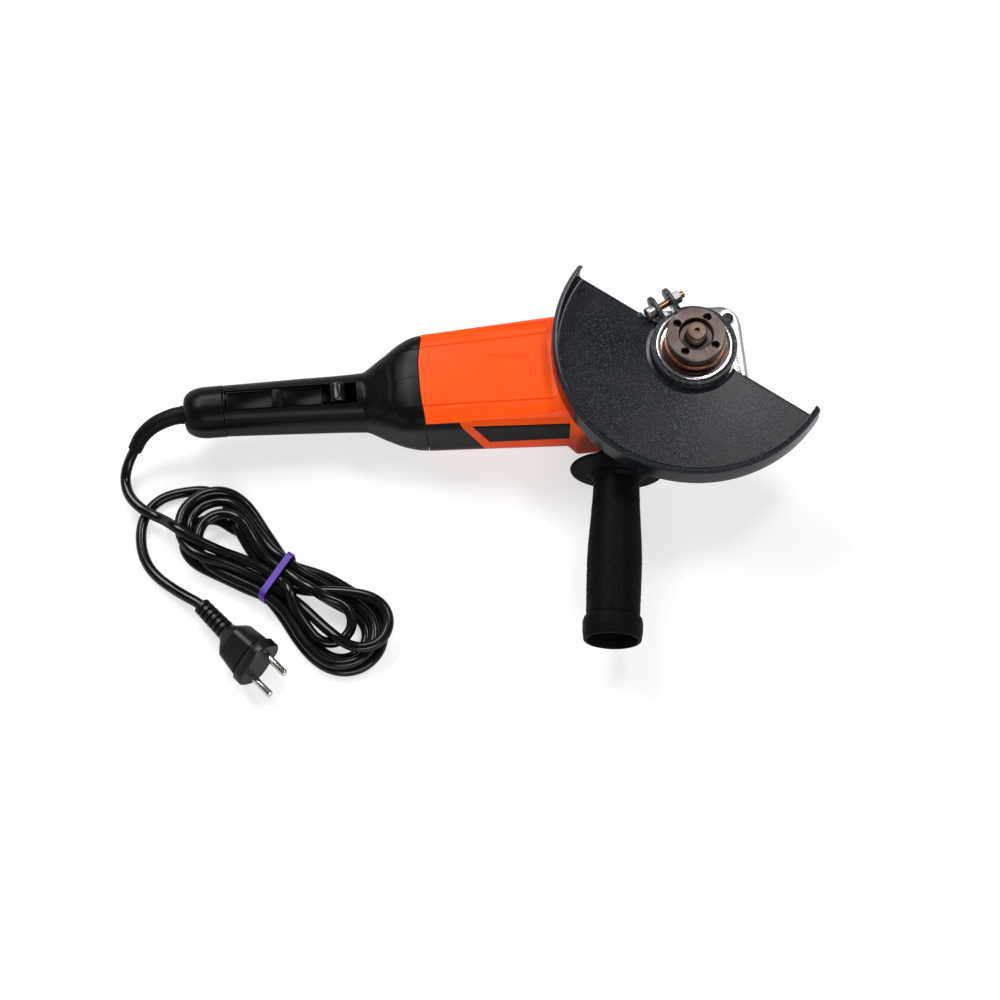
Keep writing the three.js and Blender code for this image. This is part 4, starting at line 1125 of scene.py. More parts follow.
@pattern(
    "scatter_on_points", Points=(SHAPE, None), Shape=("NodeSocketObject", None), Turn=(NUMBER, 0.0),
    Seed=(WHOLE, 0))
def scatter(tree, given):
    """Puts one shape on every point of a mesh, each turned by its own angle."""
    shape = add(tree, "GeometryNodeObjectInfo", Object=given["Shape"]).outputs["Geometry"]
    chance = add(tree, "FunctionNodeRandomValue", {"data_type": "FLOAT"}, Seed=given["Seed"])
    turn = add(tree, "CombineXYZ", Z=maths(tree, "MULTIPLY", chance.outputs[1], given["Turn"]))
    return add(tree, "GeometryNodeInstanceOnPoints", Points=given["Points"], Instance=shape, Rotation=turn)


@pattern("circle_of_shapes", Base=(SHAPE, None), Count=(WHOLE, 4), Start=(NUMBER, 0.0))
def ring(tree, given):
    """Repeats one shape round the Z axis, at even angles."""
    line = add(tree, "GeometryNodeMeshLine", {"mode": "OFFSET"}, Count=given["Count"], Offset=(0, 0, 0))
    share = maths(tree, "DIVIDE", add(tree, "GeometryNodeInputIndex"), given["Count"])
    angle = maths(tree, "MULTIPLY_ADD", share, 2 * pi, given["Start"])
    return add(tree, "GeometryNodeInstanceOnPoints", Points=line, Instance=given["Base"],
               Rotation=add(tree, "CombineXYZ", Z=angle))


@pattern(
    "screw_thread", Base=(SHAPE, None), Radius=(NUMBER, 0.006), Pitch=(NUMBER, 0.002), Turns=(NUMBER, 5.0),
    Low=(NUMBER, 0.0))
def thread(tree, given):
    """A screw thread: a sharp ridge that winds round +Z."""
    spiral = add(tree, "GeometryNodeCurveSpiral", Resolution=48, Rotations=given["Turns"],
                 Start_Radius=given["Radius"], End_Radius=given["Radius"],
                 Height=maths(tree, "MULTIPLY", given["Pitch"], given["Turns"]))
    raised = add(tree, "GeometryNodeTransform", Geometry=spiral,
                 Translation=add(tree, "CombineXYZ", Z=given["Low"]))
    upright = add(tree, "GeometryNodeSetCurveNormal", {"mode": "Z_UP"}, Curve=raised)
    ridge = add(tree, "GeometryNodeCurvePrimitiveCircle", {"mode": "RADIUS"}, Resolution=6,
                Radius=maths(tree, "MULTIPLY", given["Pitch"], 0.42))
    return add(tree, "GeometryNodeCurveToMesh", Curve=upright, Profile_Curve=ridge, Fill_Caps=True)


def grown(piece, name, **values):
    """Runs a pattern on a piece and keeps the mesh it makes."""
    modifier = piece.modifiers.new(name, "NODES")
    modifier.node_group = PATTERNS[name]
    for item in modifier.node_group.interface.items_tree:
        if item.in_out == "INPUT" and item.name in values:
            modifier[item.identifier] = values[item.name]
    return settle_modifiers(piece)


def on_points(name, places, shape, finish, slot, turn=6.2832, seed=1):
    """One shape on each of several places, as one piece of the machine. The shape is used up."""
    piece = piece_from(f"{name}s", places, [])
    grown(piece, "scatter", Shape=shape, Turn=turn, Seed=seed, Finish=FINISH[finish])
    discard(shape)
    fit(piece, "machine", *(f"{name}_{i + 1}" for i in range(len(places))), slot=slot)


def threaded(piece, radius, turns, low, finish):
    """Winds a thread of 2 mm pitch round +Z on a piece."""
    ridge = piece_from("thread", [], [])
    grown(ridge, "thread", Radius=radius * MM, Pitch=2 * MM, Turns=turns, Low=low * MM, Finish=FINISH[finish])
    join(piece, tidy_faces(ridge))


# ---- spindle and nut
def make_spindle():
    root = THREAD_R - 0.95
    spindle = turned("spindle_shaft", [
        (0, 10), (4.7, 10), (4.7, 21.5), (7.5, 21.5), (7.5, 62), (5.7, 62), (5.7, 75.5), (9, 75.5), (9, 85.3),
        (root, 85.3), (root, 104.6), (root + 0.55, 105, 0.2), (root + 0.55, SPINDLE_TOP_Z - 0.7, 0.2),
        (root - 0.1, SPINDLE_TOP_Z, 0.25), (1.8, SPINDLE_TOP_Z, 0.2), (1.5, SPINDLE_TOP_Z - 2.6),
        (0, SPINDLE_TOP_Z - 2.6)], fillet=0.25, sides=80)
    threaded(spindle, THREAD_R - 0.84, 9.3, 86.4, "thread")
    fit(spindle, "spindle", "spindle", finish="thread", sharp=42)

    flange = turned("wheel_flange", [
        (7.3, 85.7), (12, 85.7), (20.6, 86.3, 0.6), (21, 88, 0.8), (20.8, 90.6, 0.5), (17.4, 90.6, 0.2),
        (17.2, 90.2, 0.2), (12.6, 90.2, 0.2), (12.4, 90.6, 0.2), (11.1, 90.6, 0.2), (11.1, 91.8, 0.3),
        (7.3, 91.8)], sides=128)
    fit(flange, "spindle", "inner_flange", finish="copper")


def make_lock_nut():
    face = NUT_FACE_Z
    nut = turned("flange_nut", [
        (7.3, 92.9), (14, 92.9), (14, 94), (NUT_R - 0.4, 94, 0.5), (NUT_R, 94.5), (NUT_R, face - 0.7, 0.4),
        (NUT_R - 0.7, face, 0.4), (12.1, face, 0.3), (11.7, face - 0.5, 0.3), (11.4, face - 5.5, 1.2),
        (7.6, face - 5.5, 0.3), (7.3, face - 6)], sides=144)
    hole = turned(
        "pin_hole", [(0, -5.5), (PIN_HOLE_R, -5.5), (PIN_HOLE_R, -0.3, 0.1), (PIN_HOLE_R + 0.5, 0.2),
        (0, 0.2)], fillet=0, sides=40, place=(PIN_HOLE_PCD / 2, 0, face))
    grown(hole, "ring", Count=4, Start=radians(53), Finish=FINISH["nut"])
    cut(nut, hole)
    fit(nut, "lock_nut", "lock_nut", finish="nut")


class GRINDER_OT_spindle(bpy.types.Operator):
    """Make the threaded spindle, the inner flange and the lock nut"""

    bl_idname = "grinder.spindle"
    bl_label = "Spindle and nut"

    def execute(self, context):
        make_spindle()
        make_lock_nut()
        return {"FINISHED"}


# ---- guard
def make_pan():
    low = GUARD_LOW_Z
    pan = turned("guard_sheet", [
        (BAND_OUT + GAP, low + 0.1), (BAND_OUT + 3, low, 1), (GUARD_R, low, 2),
        (GUARD_R - 0.4, RIM_TOP_Z - 3.5, 1.6), (GUARD_R - 2.4, RIM_TOP_Z - 0.4, 1.2),
        (LIP_R + 0.2, RIM_TOP_Z, 0.8), (LIP_R, RIM_TOP_Z - 1.5, 0.7), (GUARD_R - 2.9, RIM_TOP_Z - 3.0, 1.5),
        (GUARD_R - 2.2, low + SHEET, 3), (BAND_OUT + 3, low + SHEET, 1),
        (BAND_OUT + GAP + 0.2, low + SHEET + 0.9, 0.4)], fillet=0.3, sides=256, steps=6)
    outward = Vector((cos(OPEN_ANGLE), sin(OPEN_ANGLE), 0))
    sideways = UP.cross(outward)
    away = [outward * a + sideways * b for a, b in (
        (CHORD_OFFSET, -150), (150, -150), (150, 150), (CHORD_OFFSET, 150))]
    cut(pan, prism("open_side", [(p.x, p.y) for p in away], 60, 100))
    bevelled(pan, 0.35, 2, 60)
    weld = sideways * 45 + outward * 2.2
    drop = turned("weld_drop", [(0, -1), (2.2, -1), (1.9, 0.7, 0.6), (0, 1.1)], fillet=0.4, sides=24,
                  place=(weld.x, weld.y, low + SHEET))
    join(pan, drop)
    fit(pan, "guard", "guard_pan", finish="sheet", sharp=45)


def on_guard(r, t, z=0.0):
    """A point by its reach towards the ears, its place along the clamp screw and its height."""
    out = Vector((cos(EAR_ANGLE), sin(EAR_ANGLE), 0))
    return out * r + out.cross(UP) * t + UP * z


def on_clamp(t):
    return on_guard(CLAMP_R, t, CLAMP_Z)


def make_collar():
    low, high = GUARD_LOW_Z - 0.2, NECK_TOP_Z - 0.6
    gap = 4.6
    thick = 3.0
    band = turned("guard_band", [
        (BAND_IN, low), (BAND_OUT, low), (BAND_OUT, high), (BAND_IN, high)], fillet=0.6, sides=160)
    slot = [on_guard(r, t) for r, t in ((20, -gap), (34, -gap), (34, gap), (20, gap))]
    cut(band, prism("band_gap", [(p.x, p.y) for p in slot], 60, 90))
    for near in (-gap - thick, gap):
        outline = rounded([
            (BAND_OUT - 2.2, low + 0.2), (41.5, low + 1.6, 5), (46.8, 76, 4), (47.4, 83, 4.5), (42, 86, 4),
            (35.5, 85, 5), (BAND_OUT - 2.2, high - 0.4, 2)], 0.5, 6)
        rings = [[on_guard(r, t, z) for r, z in outline] for t in (near, near + thick)]
        ear = bevelled(loft("ear", rings), 0.5, 2, 40)
        join(band, cut(ear, bar("ear_hole", on_clamp(near - 1), on_clamp(near + 4), 2.9)))
    cut(band, turned("neck_room", [(0, 60), (BAND_IN, 60), (BAND_IN, 95), (0, 95)], fillet=0, sides=160))
    fit(band, "guard", "guard_collar", finish="collar", sharp=45)


def make_clamp():
    start, end = on_clamp(-14), on_clamp(16.5)
    way = end - start
    screw = turned("clamp_bolt", [
        (0, 0), (4.2, 0, 0.3), (4.8, 0.6, 0.3), (4.8, 6.1, 0.3), (2.5, 6.1), (2.5, 29.9, 0.3),
        (1.9, 30.5, 0.2), (0, 30.5)], fillet=0.2, sides=64, axis=way, place=start)
    socket = turned(
        "key_socket", [(0, -1), (2.7, -1), (2.6, 3.2), (0, 3.8)], fillet=0, sides=6, axis=way, place=start)
    cut(screw, socket)
    two_finishes(screw, "steel", "zinc", lambda place: (place - start).dot(way.normalized()) > 6.2)
    fit(screw, "guard", "clamp_screw", slot="bright_steel")
    place = on_clamp(7.6 + GAP)
    nut = turned("clamp_hex", [(0, 0), (4.7, 0), (4.7, 5), (0, 5)], fillet=0, sides=6, axis=way, place=place)
    crown = turned(
        "crown", [(0, -0.2), (4.4, -0.2, 0.2), (4.95, 1.2), (4.95, 3.7), (4.2, 5.1, 0.2), (0, 5.1)],
        fillet=0.2, sides=64, axis=way, place=place)
    combine(nut, [crown], "INTERSECT")
    cut(nut, bar("nut_bore", on_clamp(6), on_clamp(15), 2.8))
    fit(nut, "guard", "clamp_nut", finish="steel", slot="yellow_zinc", sharp=30)


class GRINDER_OT_guard(bpy.types.Operator):
    """Make the guard pan, its clamping collar, the clamp screw and nut"""

    bl_idname = "grinder.guard"
    bl_label = "Guard"

    def execute(self, context):
        make_pan()
        make_collar()
        make_clamp()
        return {"FINISHED"}


# ---- shells of the long body
def smooth_through(places, values):
    """A monotone cubic through values at rising places, as a function."""
    places, values = np.array(places, float), np.array(values, float)
    widths = np.diff(places)
    slopes = np.diff(values) / widths
    tangents = np.concatenate([slopes[:1], np.zeros(len(slopes) - 1), slopes[-1:]])
    for i in range(1, len(slopes)):
        if slopes[i - 1] * slopes[i] > 0:
            tangents[i] = 2 * slopes[i - 1] * slopes[i] / (slopes[i - 1] + slopes[i])

    def at(place):
        i = int(np.clip(np.searchsorted(places, place) - 1, 0, len(widths) - 1))
        t = (place - places[i]) / widths[i]
        level = values[i] + (values[i + 1] - values[i]) * t * t * (3 - 2 * t)
        return level + widths[i] * t * (1 - t) * (tangents[i] * (1 - t) - tangents[i + 1] * t)

    return at


class Contour:
    """A rounded cross-section of the long body, walked from its top centre line to its bottom one."""

    def __init__(self, half, low, high, top, base):
        self.half, self.low, self.high, self.top, self.base = half, low, high, top, base
        self.stretches = (half - top, top * pi / 2, high - top - low - base, base * pi / 2, half - base)
        self.length = sum(self.stretches)

    def at(self, walk):
        """The (y, z) reached and the way out there, for y above 0."""
        flat, turn, wall, under, _ = self.stretches
        if walk < flat:
            return walk, self.high, 0.0, 1.0
        walk -= flat
        if walk < turn:
            a = walk / self.top
            return (self.half - self.top + self.top * sin(a), self.high - self.top + self.top * cos(a),
                    sin(a), cos(a))
        walk -= turn
        if walk < wall:
            return self.half, self.high - self.top - walk, 1.0, 0.0
        walk -= wall
        if walk < under:
            a = walk / self.base
            return (self.half - self.base + self.base * cos(a), self.low + self.base - self.base * sin(a),
                    cos(a), -sin(a))
        walk -= under
        return max(0.0, self.half - self.base - walk), self.low, 0.0, -1.0

    def walk_to(self, y=None, z=None):
        """The walk to a distance from the middle plane, or to a height on the upper corner."""
        flat, top = self.stretches[0], self.top
        if y is not None:
            return y if y < flat else flat + top * asin(min(1.0, (y - flat) / top))
        return flat + top * acos(max(0.0, min(1.0, (z - self.high + top) / top)))

    def out(self, z, inset=0.0):
        """How far out the side stands at a height, the contour drawn in by the inset."""
        for radius, beyond in ((self.top, z - (self.high - self.top)), (self.base, self.low + self.base - z)):
            if beyond > 0:
                return self.half - radius + sqrt(max(0.0, (radius - inset) ** 2 - beyond ** 2))
        return self.half - inset


def contours(stations, smooth=False):
    """The contour at any x, from stations of (x, half width, low, high, top corner, bottom corner)."""
    table = np.array(stations, float)
    if smooth:
        follow = [smooth_through(table[:, 0], table[:, k]) for k in range(1, 6)]
        return lambda x: Contour(*(float(f(x)) for f in follow))
    return lambda x: Contour(*(float(np.interp(x, table[:, 0], table[:, k])) for k in range(1, 6)))


def spread(stops):
    """Walks with a chosen number of steps between stops: (place, steps to the next one)."""
    walks = []
    for (place, steps), (following, _) in zip(stops[:-1], stops[1:]):
        walks += list(np.linspace(place, following, steps, endpoint=False))
    return walks + [stops[-1][0]]


def shell(name, places, contour, stops, depth, inset=0.0):
    """A closed skin along X. The depth, by x and walk, is how far the surface is let in."""
    rings = []
    for x in places:
        line = contour(x)
        half = []
        for walk in spread(stops(x, line.length)):
            y, z, out, rise = line.at(min(walk, line.length - 1e-6))
            let_in = inset + depth(x, walk)
            half.append((y - out * let_in, z - rise * let_in))
        ring = at_x(x, half) + at_x(x, [(-y, z) for y, z in half[-2:0:-1]])
        ring[0].y = ring[len(half) - 1].y = 0.0
        rings.append(ring)
    return loft(name, rings)


def rolled(distance, radius):
    """The drop of a rounded edge, at a distance from it."""
    if distance >= radius:
        return 0.0
    return radius - sqrt(max(0.0, radius ** 2 - (radius - max(0.0, distance)) ** 2))


def ease(value, low, high):
    """0 at low, 1 at high and smooth between them."""
    return eased((value - low) / (high - low))


def groove(walk, line, wide, deep):
    return deep * max(0.0, 1 - abs(walk - line) / wide)


DRAWN_BACK = 4.6


def drawn_back(piece, hollow=False):
    """Draws the shells back round the joint between housing and handle, most of all over the top."""
    for corner in piece.data.vertices:
        x, y, z = corner.co / MM
        outer = 1.0 if hollow else ease(hypot(y, z - MOTOR_Z), 24, 29)
        along = ease(x, -233.5, -214) * (1 - ease(x, -183, -150))
        reach = (1 - 0.4 * ease(abs(y), 10, 36) - 0.4 * ease(y, 5, 34)) * (0.55 + 0.45 * ease(z, 15, 58))
        corner.co.x -= DRAWN_BACK * MM * outer * along * reach
    return piece


HOUSING = (
    (SEAM_X + GAP, 36, 0, 69.4, 13.6, 26), (-90, 41.2, 0, 71, 14.4, 26), (-88, 42.2, 0, 70.9, 14.6, 25),
    (-84, 45.4, 0, 70.3, 16, 21), (-82.5, 46, 0, 70, 16, 20), (FLANGE_X - GAP, 46, 0, 70, 16, 20))
PANEL_REAR_X = -190.0


def panel_lines(x):
    """Walks from the top centre line to the panel's edge, the ridge, the ledge and the side groove."""
    edge = 21.3 + (x - PANEL_REAR_X) * 0.0322
    ridge = 32 - (max(x, SEAM_X) - SEAM_X) * 0.0607
    return edge, ridge, 35.5 - 0.11 * max(0.0, x + 104), 36.6 + max(0.0, x + 158.9) * 0.05


INSERTS = ((SEAM_X + GAP, 63.2), (-164, 63.6), (-146.6, 18), (SEAM_X + GAP, 18))
BADGES = ((-155.5, 60.1), (-89.2, 60.1), (-89.2, 34.8), (-143.9, 33.2))
HOUSING_AT = contours(HOUSING)


def window_half(x):
    """The half width of the shallow window in the panel."""
    return 7.5 + min(39.0, max(0.0, -111 - x)) * 0.13


def housing_stops(x, length):
    edge, ridge, ledge, low = panel_lines(x)
    width = window_half(x)
    return (
        (0, 6), (width - 0.4, 5), (width + 1.1, 6), (edge - 2, 4), (edge - 0.3, 1), (edge - 0.05, 1),
        (edge + 0.1, 1), (edge + 0.5, 1), (edge + 0.8, 1), (edge + 1.2, 4), (ridge, 1), (ridge + 0.3, 5),
        (ledge, 1), (ledge + 0.35, 2), (low - 0.35, 1), (low, 1), (low + 0.35, 40), (length, 0))


def housing_depth(x, walk):
    """The raised panel, its shallow roof and pocket, the wedge facets and the fine side groove."""
    edge, ridge, ledge, low = panel_lines(x)
    front = 1 - ease(x, -99.5, -96)
    roof = (0.8 * min(1.0, walk / 22) ** 2 + 0.5 * ease(x, -165, -125)) * front
    step = 1.05 * ease(walk - edge, -0.25, 0.15) - 0.4 * ease(walk - edge, 0.45, 1.2)
    wedge = 1.9 * min(1.0, max(0.0, (x + 163) / 60)) * front
    floor = roof + step * front
    if walk > ridge:
        level = roof + 0.65 * front
        floor = level + (wedge - level) * min(1.0, (walk - ridge) / (ledge - ridge))
        floor *= 1 - ease(walk, ledge, ledge + 0.35)
    pocket = ease(x, -150, -132) * (1 - ease(x, -112.8, -111.6))
    width = window_half(x)
    floor += 0.85 * pocket * (1 - ease(walk, width, width + 0.7))
    side = ease(x, -160, -156) * (1 - ease(x, -93, -90))
    floor += groove(walk, low, 0.35, 0.4) * side
    return floor + rolled(min(x - HOUSING[0][0], HOUSING[-1][0] - x), 0.25)


def make_motor_housing():
    rear, front = HOUSING[0][0], HOUSING[-1][0]
    places = spread((
        (rear, 1), (rear + 0.03, 1), (rear + 0.1, 1), (rear + 0.25, 10), (-170, 34), (-114, 8), (-110.5, 4),
        (-101, 18), (-95, 4), (-91, 26), (-82, 8), (front - 0.25, 1), (front - 0.1, 1), (front - 0.03, 1),
        (front, 0)))
    housing = shell("motor_housing_shell", places, HOUSING_AT, housing_stops, housing_depth)
    cuts = [bore("stator_bore", -166, FLANGE_X + 5, 30.3, 96),
            body_loft("rear_room", [(x, 35, 0, 69, 16, 26) for x in (SEAM_X + 4, -165.5)], inset=5.6)]
    cuts += [inlay_room(corners, side, depth + GAP)
             for corners, depth in ((INSERTS, 2.5), (BADGES, 1.2)) for side in (-1, 1)]
    cuts += [bore("bolt", FLANGE_X - 13, FLANGE_X + 1, 2.6, 16, y, z) for y, z in HOUSING_SCREWS]
    cut(housing, *cuts)
    tongue = body_loft("tongue", [(x, *HOUSING[0][1:]) for x in (SEAM_X - 3, SEAM_X + 2)], inset=3.1)
    cut(tongue, body_loft("tongue_room", [(x, *HOUSING[0][1:]) for x in (SEAM_X - 4, SEAM_X + 1)], inset=4.5))
    join(housing, tongue, bore("bearing_tube", -201, SEAM_X + 4.5, 14.5, 64))
    ports = [bore("bearing_seat", -202, -191, 11.4, 64),
             bore("shaft_room", -202, SEAM_X + 5, 7, 40)]
    for turn in (45, 135, 225, 315):
        y, z = 22 * cos(radians(turn)), MOTOR_Z + 22 * sin(radians(turn))
        ports.append(bore("port", SEAM_X - 1, SEAM_X + 5, 6, 32, y, z))
    cut(housing, *ports)
    fit(drawn_back(housing), "machine", "motor_housing", finish="orange", sharp=34)


def plate_grid(corners, roll):
    """Places over a four-cornered outline, close together at its edges: (x, z, distance from the edge)."""
    (x0, z0), (x1, z1), (x2, z2), (x3, z3) = corners
    wide, tall = x1 - x0, z0 - z3
    fine = (0, 0.12, 0.35, 0.65, 1)
    rows = []
    for t in plate_shares(fine, roll / tall, 26):
        row = []
        for s in plate_shares(fine, roll / wide, 40):
            x = (x0 + (x1 - x0) * s) * (1 - t) + (x3 + (x2 - x3) * s) * t
            z = (z0 + (z1 - z0) * s) * (1 - t) + (z3 + (z2 - z3) * s) * t
            row.append((x, z, min(min(s, 1 - s) * wide, min(t, 1 - t) * tall)))
        rows.append(row)
    return rows


def plate_shares(fine, edge, steps):
    start = [f * edge for f in fine]
    middle = list(np.linspace(edge, 1 - edge, steps))[1:-1]
    return start + middle + [1 - f for f in reversed(start)]


def plate(name, rows, outside, inside):
    """A closed plate between two surfaces over the same grid."""
    count = len(rows[0])
    points = [
        outside(*cell) for row in rows for cell in row] + [inside(*cell) for row in rows for cell in row]
    back = len(points) // 2
    faces = []
    for i in range(len(rows) - 1):
        for k in range(count - 1):
            a = i * count + k
            quad = (a, a + 1, a + 1 + count, a + count)
            faces += [quad, tuple(back + q for q in reversed(quad))]
    last = (len(rows) - 1) * count
    rim = list(range(count)) + [i * count + count - 1 for i in range(1, len(rows))]
    rim += list(range(last + count - 2, last - 1, -1)) + [i * count for i in range(len(rows) - 2, 0, -1)]
    for a, b in zip(rim, rim[1:] + rim[:1]):
        faces.append((a, b, back + b, back + a))
    return tidy_faces(piece_from(name, points, faces), 0.001)


def inlay(name, corners, side, thick, roll):
    return plate(
        name, plate_grid(corners, roll),
        lambda x, z, edge: (x, side * HOUSING_AT(x).out(z, rolled(edge, roll) + 0.03), z),
        lambda x, z, edge: (x, side * HOUSING_AT(x).out(z, thick), z))


def inlay_room(corners, side, deep):
    """What an inlay takes out of the housing, with air all round it."""
    (x0, z0), (x1, z1), (x2, z2), (x3, z3) = corners
    rear = 3 if x0 == SEAM_X + GAP else GAP
    grown = ((x0 - rear, z0 + GAP), (x1 + GAP, z1 + GAP), (x2 + GAP, z2 - GAP), (x3 - rear, z3 - GAP))
    return plate("inlay_room", plate_grid(grown, 0.5), lambda x, z, edge: (x, side * 60, z),
                 lambda x, z, edge: (x, side * HOUSING_AT(max(x, SEAM_X)).out(z, deep), z))


def make_housing_screws():
    """The four screws that hold the gear housing: one screw on each point, lying along X."""
    screw = turned("housing_screw", [
        (0, -15.5), (2.1, -15.5, 0.4), (2.1, GAP), (4.2, GAP, 0.3), (4.3, 2.6, 0.5), (3.7, 3.5, 0.5),
        (0, 3.5)], fillet=0.2, sides=40, axis=(1, 0, 0))
    cut(screw, turned(
        "key_socket", [(0, 1.9), (1.7, 1.9), (1.8, 4), (0, 4)], fillet=0, sides=6, axis=(1, 0, 0)))
    places = [(FLANGE_X + 3.5, y, z) for y, z in HOUSING_SCREWS]
    on_points("housing_screw", places, screw, "steel", "bright_steel", turn=0.0)


class GRINDER_OT_motor_housing(bpy.types.Operator):
    """Make the motor housing, its brush covers, its badge plates and the screws that hold it"""

    bl_idname = "grinder.motor_housing"
    bl_label = "Motor housing"

    def execute(self, context):
        make_motor_housing()
        for side, name in ((-1, "right"), (1, "left")):
            cover = inlay(f"brush_cover_{name}_plate", INSERTS, side, 2.5, 0.7)
            fit(drawn_back(cover), "machine", f"brush_cover_{name}", finish="black")
            badge = inlay(f"badge_{name}", BADGES, side, 1.2, 0.35)
            fit(badge, "machine", f"badge_plate_{name}", finish="badge")
        make_housing_screws()
        return {"FINISHED"}


# ---- rear handle
HANDLE = ((CAP_X + GAP, 16.2, 19, 57, 14.5, 14.5), (-275, 17.4, 14.5, 55.2, 15, 15),
          (GRIP_FRONT_X, 18.8, 9.5, 53, 15, 16), (-221, 21.7, 8, 55, 15, 17), (-213, 26.4, 6, 59, 15.6, 20),
          (-201, 32.7, 3.2, 65.2, 15, 24), (-191.6, 35.3, 1, 68.4, 14, 26), (SEAM_X, 36, 0.4, 69.4, 13.6, 26))
CAP = ((REAR_X, 9.6, 28.5, 47.5, 9.4, 9.4), (REAR_X + 3, 13, 23.5, 52, 12.5, 12.5),
       (REAR_X + 9, 15.3, 20.4, 55.4, 14, 14), (CAP_X, 16.4, 18.8, 57.2, 14.5, 14.5))
SLOT = (CAP_X + 1.5, -233.5)  # the opening for the switch, along X
SLOT_HALF = 7.7


HANDLE_AT = contours(HANDLE, smooth=True)


def handle_stops(x, length):
    upper, lower = upper_line(x), lower_line(x)
    return (
        (0, 8), (upper - 0.5, 1), (upper, 1), (upper + 0.5, 4), (lower - 0.5, 1), (lower, 1),
        (lower + 0.5, 36), (length, 0))


def upper_line(x):
    """The groove that carries on from the edge of the housing's top panel."""
    return HANDLE_AT(max(x, -222.0)).walk_to(y=21.3)


def lower_line(x):
    """The groove that carries on from the top of the brush cover."""
    return max(HANDLE_AT(max(x, -205.0)).walk_to(z=62.2), upper_line(x) + 1.2)


def handle_depth(x, walk):
    upper = groove(walk, upper_line(x), 0.5, 0.45) * ease(x, -226, -214)
    lower = groove(walk, lower_line(x), 0.5, 0.45) * ease(x, -209, -202)
    crown = 0.9 * min(1.0, walk / 22) ** 2 * (1 - ease(walk, 26, 44)) * ease(x, -228, -206)
    shoulder = groove(x + 0.12 * max(0.0, walk - 6), -204, 3.0, 0.35) * (1 - ease(walk, 26, 34))
    return upper + lower + crown + shoulder + rolled(min(x - HANDLE[0][0], SEAM_X - x), 0.3)


def make_handle_shells():
    rear = HANDLE[0][0]
    places = spread(((rear, 1), (rear + 0.07, 1), (rear + 0.25, 1), (rear + 0.6, 30), (-234, 10), (-220, 36),
                     (SEAM_X - 0.6, 1), (SEAM_X - 0.25, 1), (SEAM_X - 0.07, 1), (SEAM_X, 0)))
    outer = shell("handle_outer", places, HANDLE_AT, handle_stops, handle_depth)
    inner = shell("handle_room", [x - 2 if x == rear else x + 2 if x == SEAM_X else x for x, *_ in HANDLE],
                  lambda x: HANDLE_AT(min(max(x, rear), SEAM_X)),
                  lambda x, length: ((0, 40), (length, 0)), lambda x, walk: 0.0, inset=WALL)
    cut(outer, inner, slot_cutter(), seam_cutter(False), seam_cutter(True))
    for side in (-1, 1):
        join(outer, pivot("pivot_boss", PADDLE_PIVOT, side * 7.9, side * 12.2, 4.6))
        cut(outer, pivot("pivot_hole", PADDLE_PIVOT, side * 7, side * 10.4, 2.9))
    copy = put("handle_copy", outer.data.copy())
    for piece, side, name in ((outer, -1, "right"), (copy, 1, "left")):
        cut(piece, block("other_half", (-400, -100), (side * -80, side * GAP / 2), (-10, 100)))
        piece.name = piece.data.name = f"handle_half_{name}"
        fit(drawn_back(piece, True), "machine", f"handle_shell_{name}", finish="black", sharp=34)


def slot_cutter():
    """The opening for the switch, its long edges broken by a small chamfer."""
    rings = []
    for x in np.linspace(*SLOT, 40):
        line = HANDLE_AT(x)
        edge = line.high - line.top + sqrt(line.top ** 2 - (SLOT_HALF - line.half + line.top) ** 2)
        side = [
            (SLOT_HALF, 42), (SLOT_HALF, edge - 0.5), (SLOT_HALF + 0.55, edge + 0.05), (SLOT_HALF + 0.55, 80)]
        rings.append(at_x(x, side + [(-y, z) for y, z in reversed(side)]))
    return loft("switch_opening", rings)


def seam_cutter(top):
    """A fine V along the joint between the shells."""
    rings = []
    for x in np.linspace(HANDLE[0][0] - 1, SEAM_X + 1, 60):
        line = HANDLE_AT(min(max(x, HANDLE[0][0]), SEAM_X))
        level, way = (line.high, 1) if top else (line.low, -1)
        rings.append(at_x(x, [(y, level + way * z) for y, z in ((-0.2, 0.1), (0.2, 0.1), (0, -0.15))]))
    return loft("seam_groove", rings)


def make_end_cap():
    contour = contours(CAP, smooth=True)
    length = CAP_X - REAR_X
    places = [REAR_X + length * (1 - cos(pi / 2 * t)) for t in np.linspace(0, 1, 44)]
    places = places[:-1] + [CAP_X - 0.3, CAP_X - 0.1, CAP_X]

    def whole(x):
        reach = min(1.0, (x - REAR_X) / 15.0)
        dome = 1 - sqrt(1 - (1 - reach) ** 2)
        base = contour(CAP_X)
        taper = 0.25 * (CAP_X - x) / length
        return Contour(
            base.half - 6.8 * dome - taper, base.low + 9.6 * dome + taper, base.high - 9.6 * dome - taper,
            base.top - 5.2 * dome, base.base - 5.2 * dome)

    cap = shell("end_cap_dome", places, whole, lambda x, full: ((0, 44), (full, 0)),
                lambda x, walk: rolled(CAP_X - x, 0.3))
    room = body_loft("cap_room", [*CAP[1:3], (CAP_X + 2, *CAP[3][1:])], inset=WALL)
    cut(cap, room, bore("cord_hole", REAR_X - 1, REAR_X + 10, 7, 64))
    fit(cap, "machine", "handle_end_cap", finish="black", sharp=34)


class GRINDER_OT_rear_handle(bpy.types.Operator):
    """Make the two shells of the rear handle and its end cap"""

    bl_idname = "grinder.rear_handle"
    bl_label = "Rear handle"

    def execute(self, context):
        make_handle_shells()
        make_end_cap()
        return {"FINISHED"}


def paddle_top(along):
    return 54.8 - along * 3.6 / 69


def from_cap(*outline):
    """Points given along the machine from the cap joint, as (x, z)."""
    return [(CAP_X + along, *rest) for along, *rest in outline]


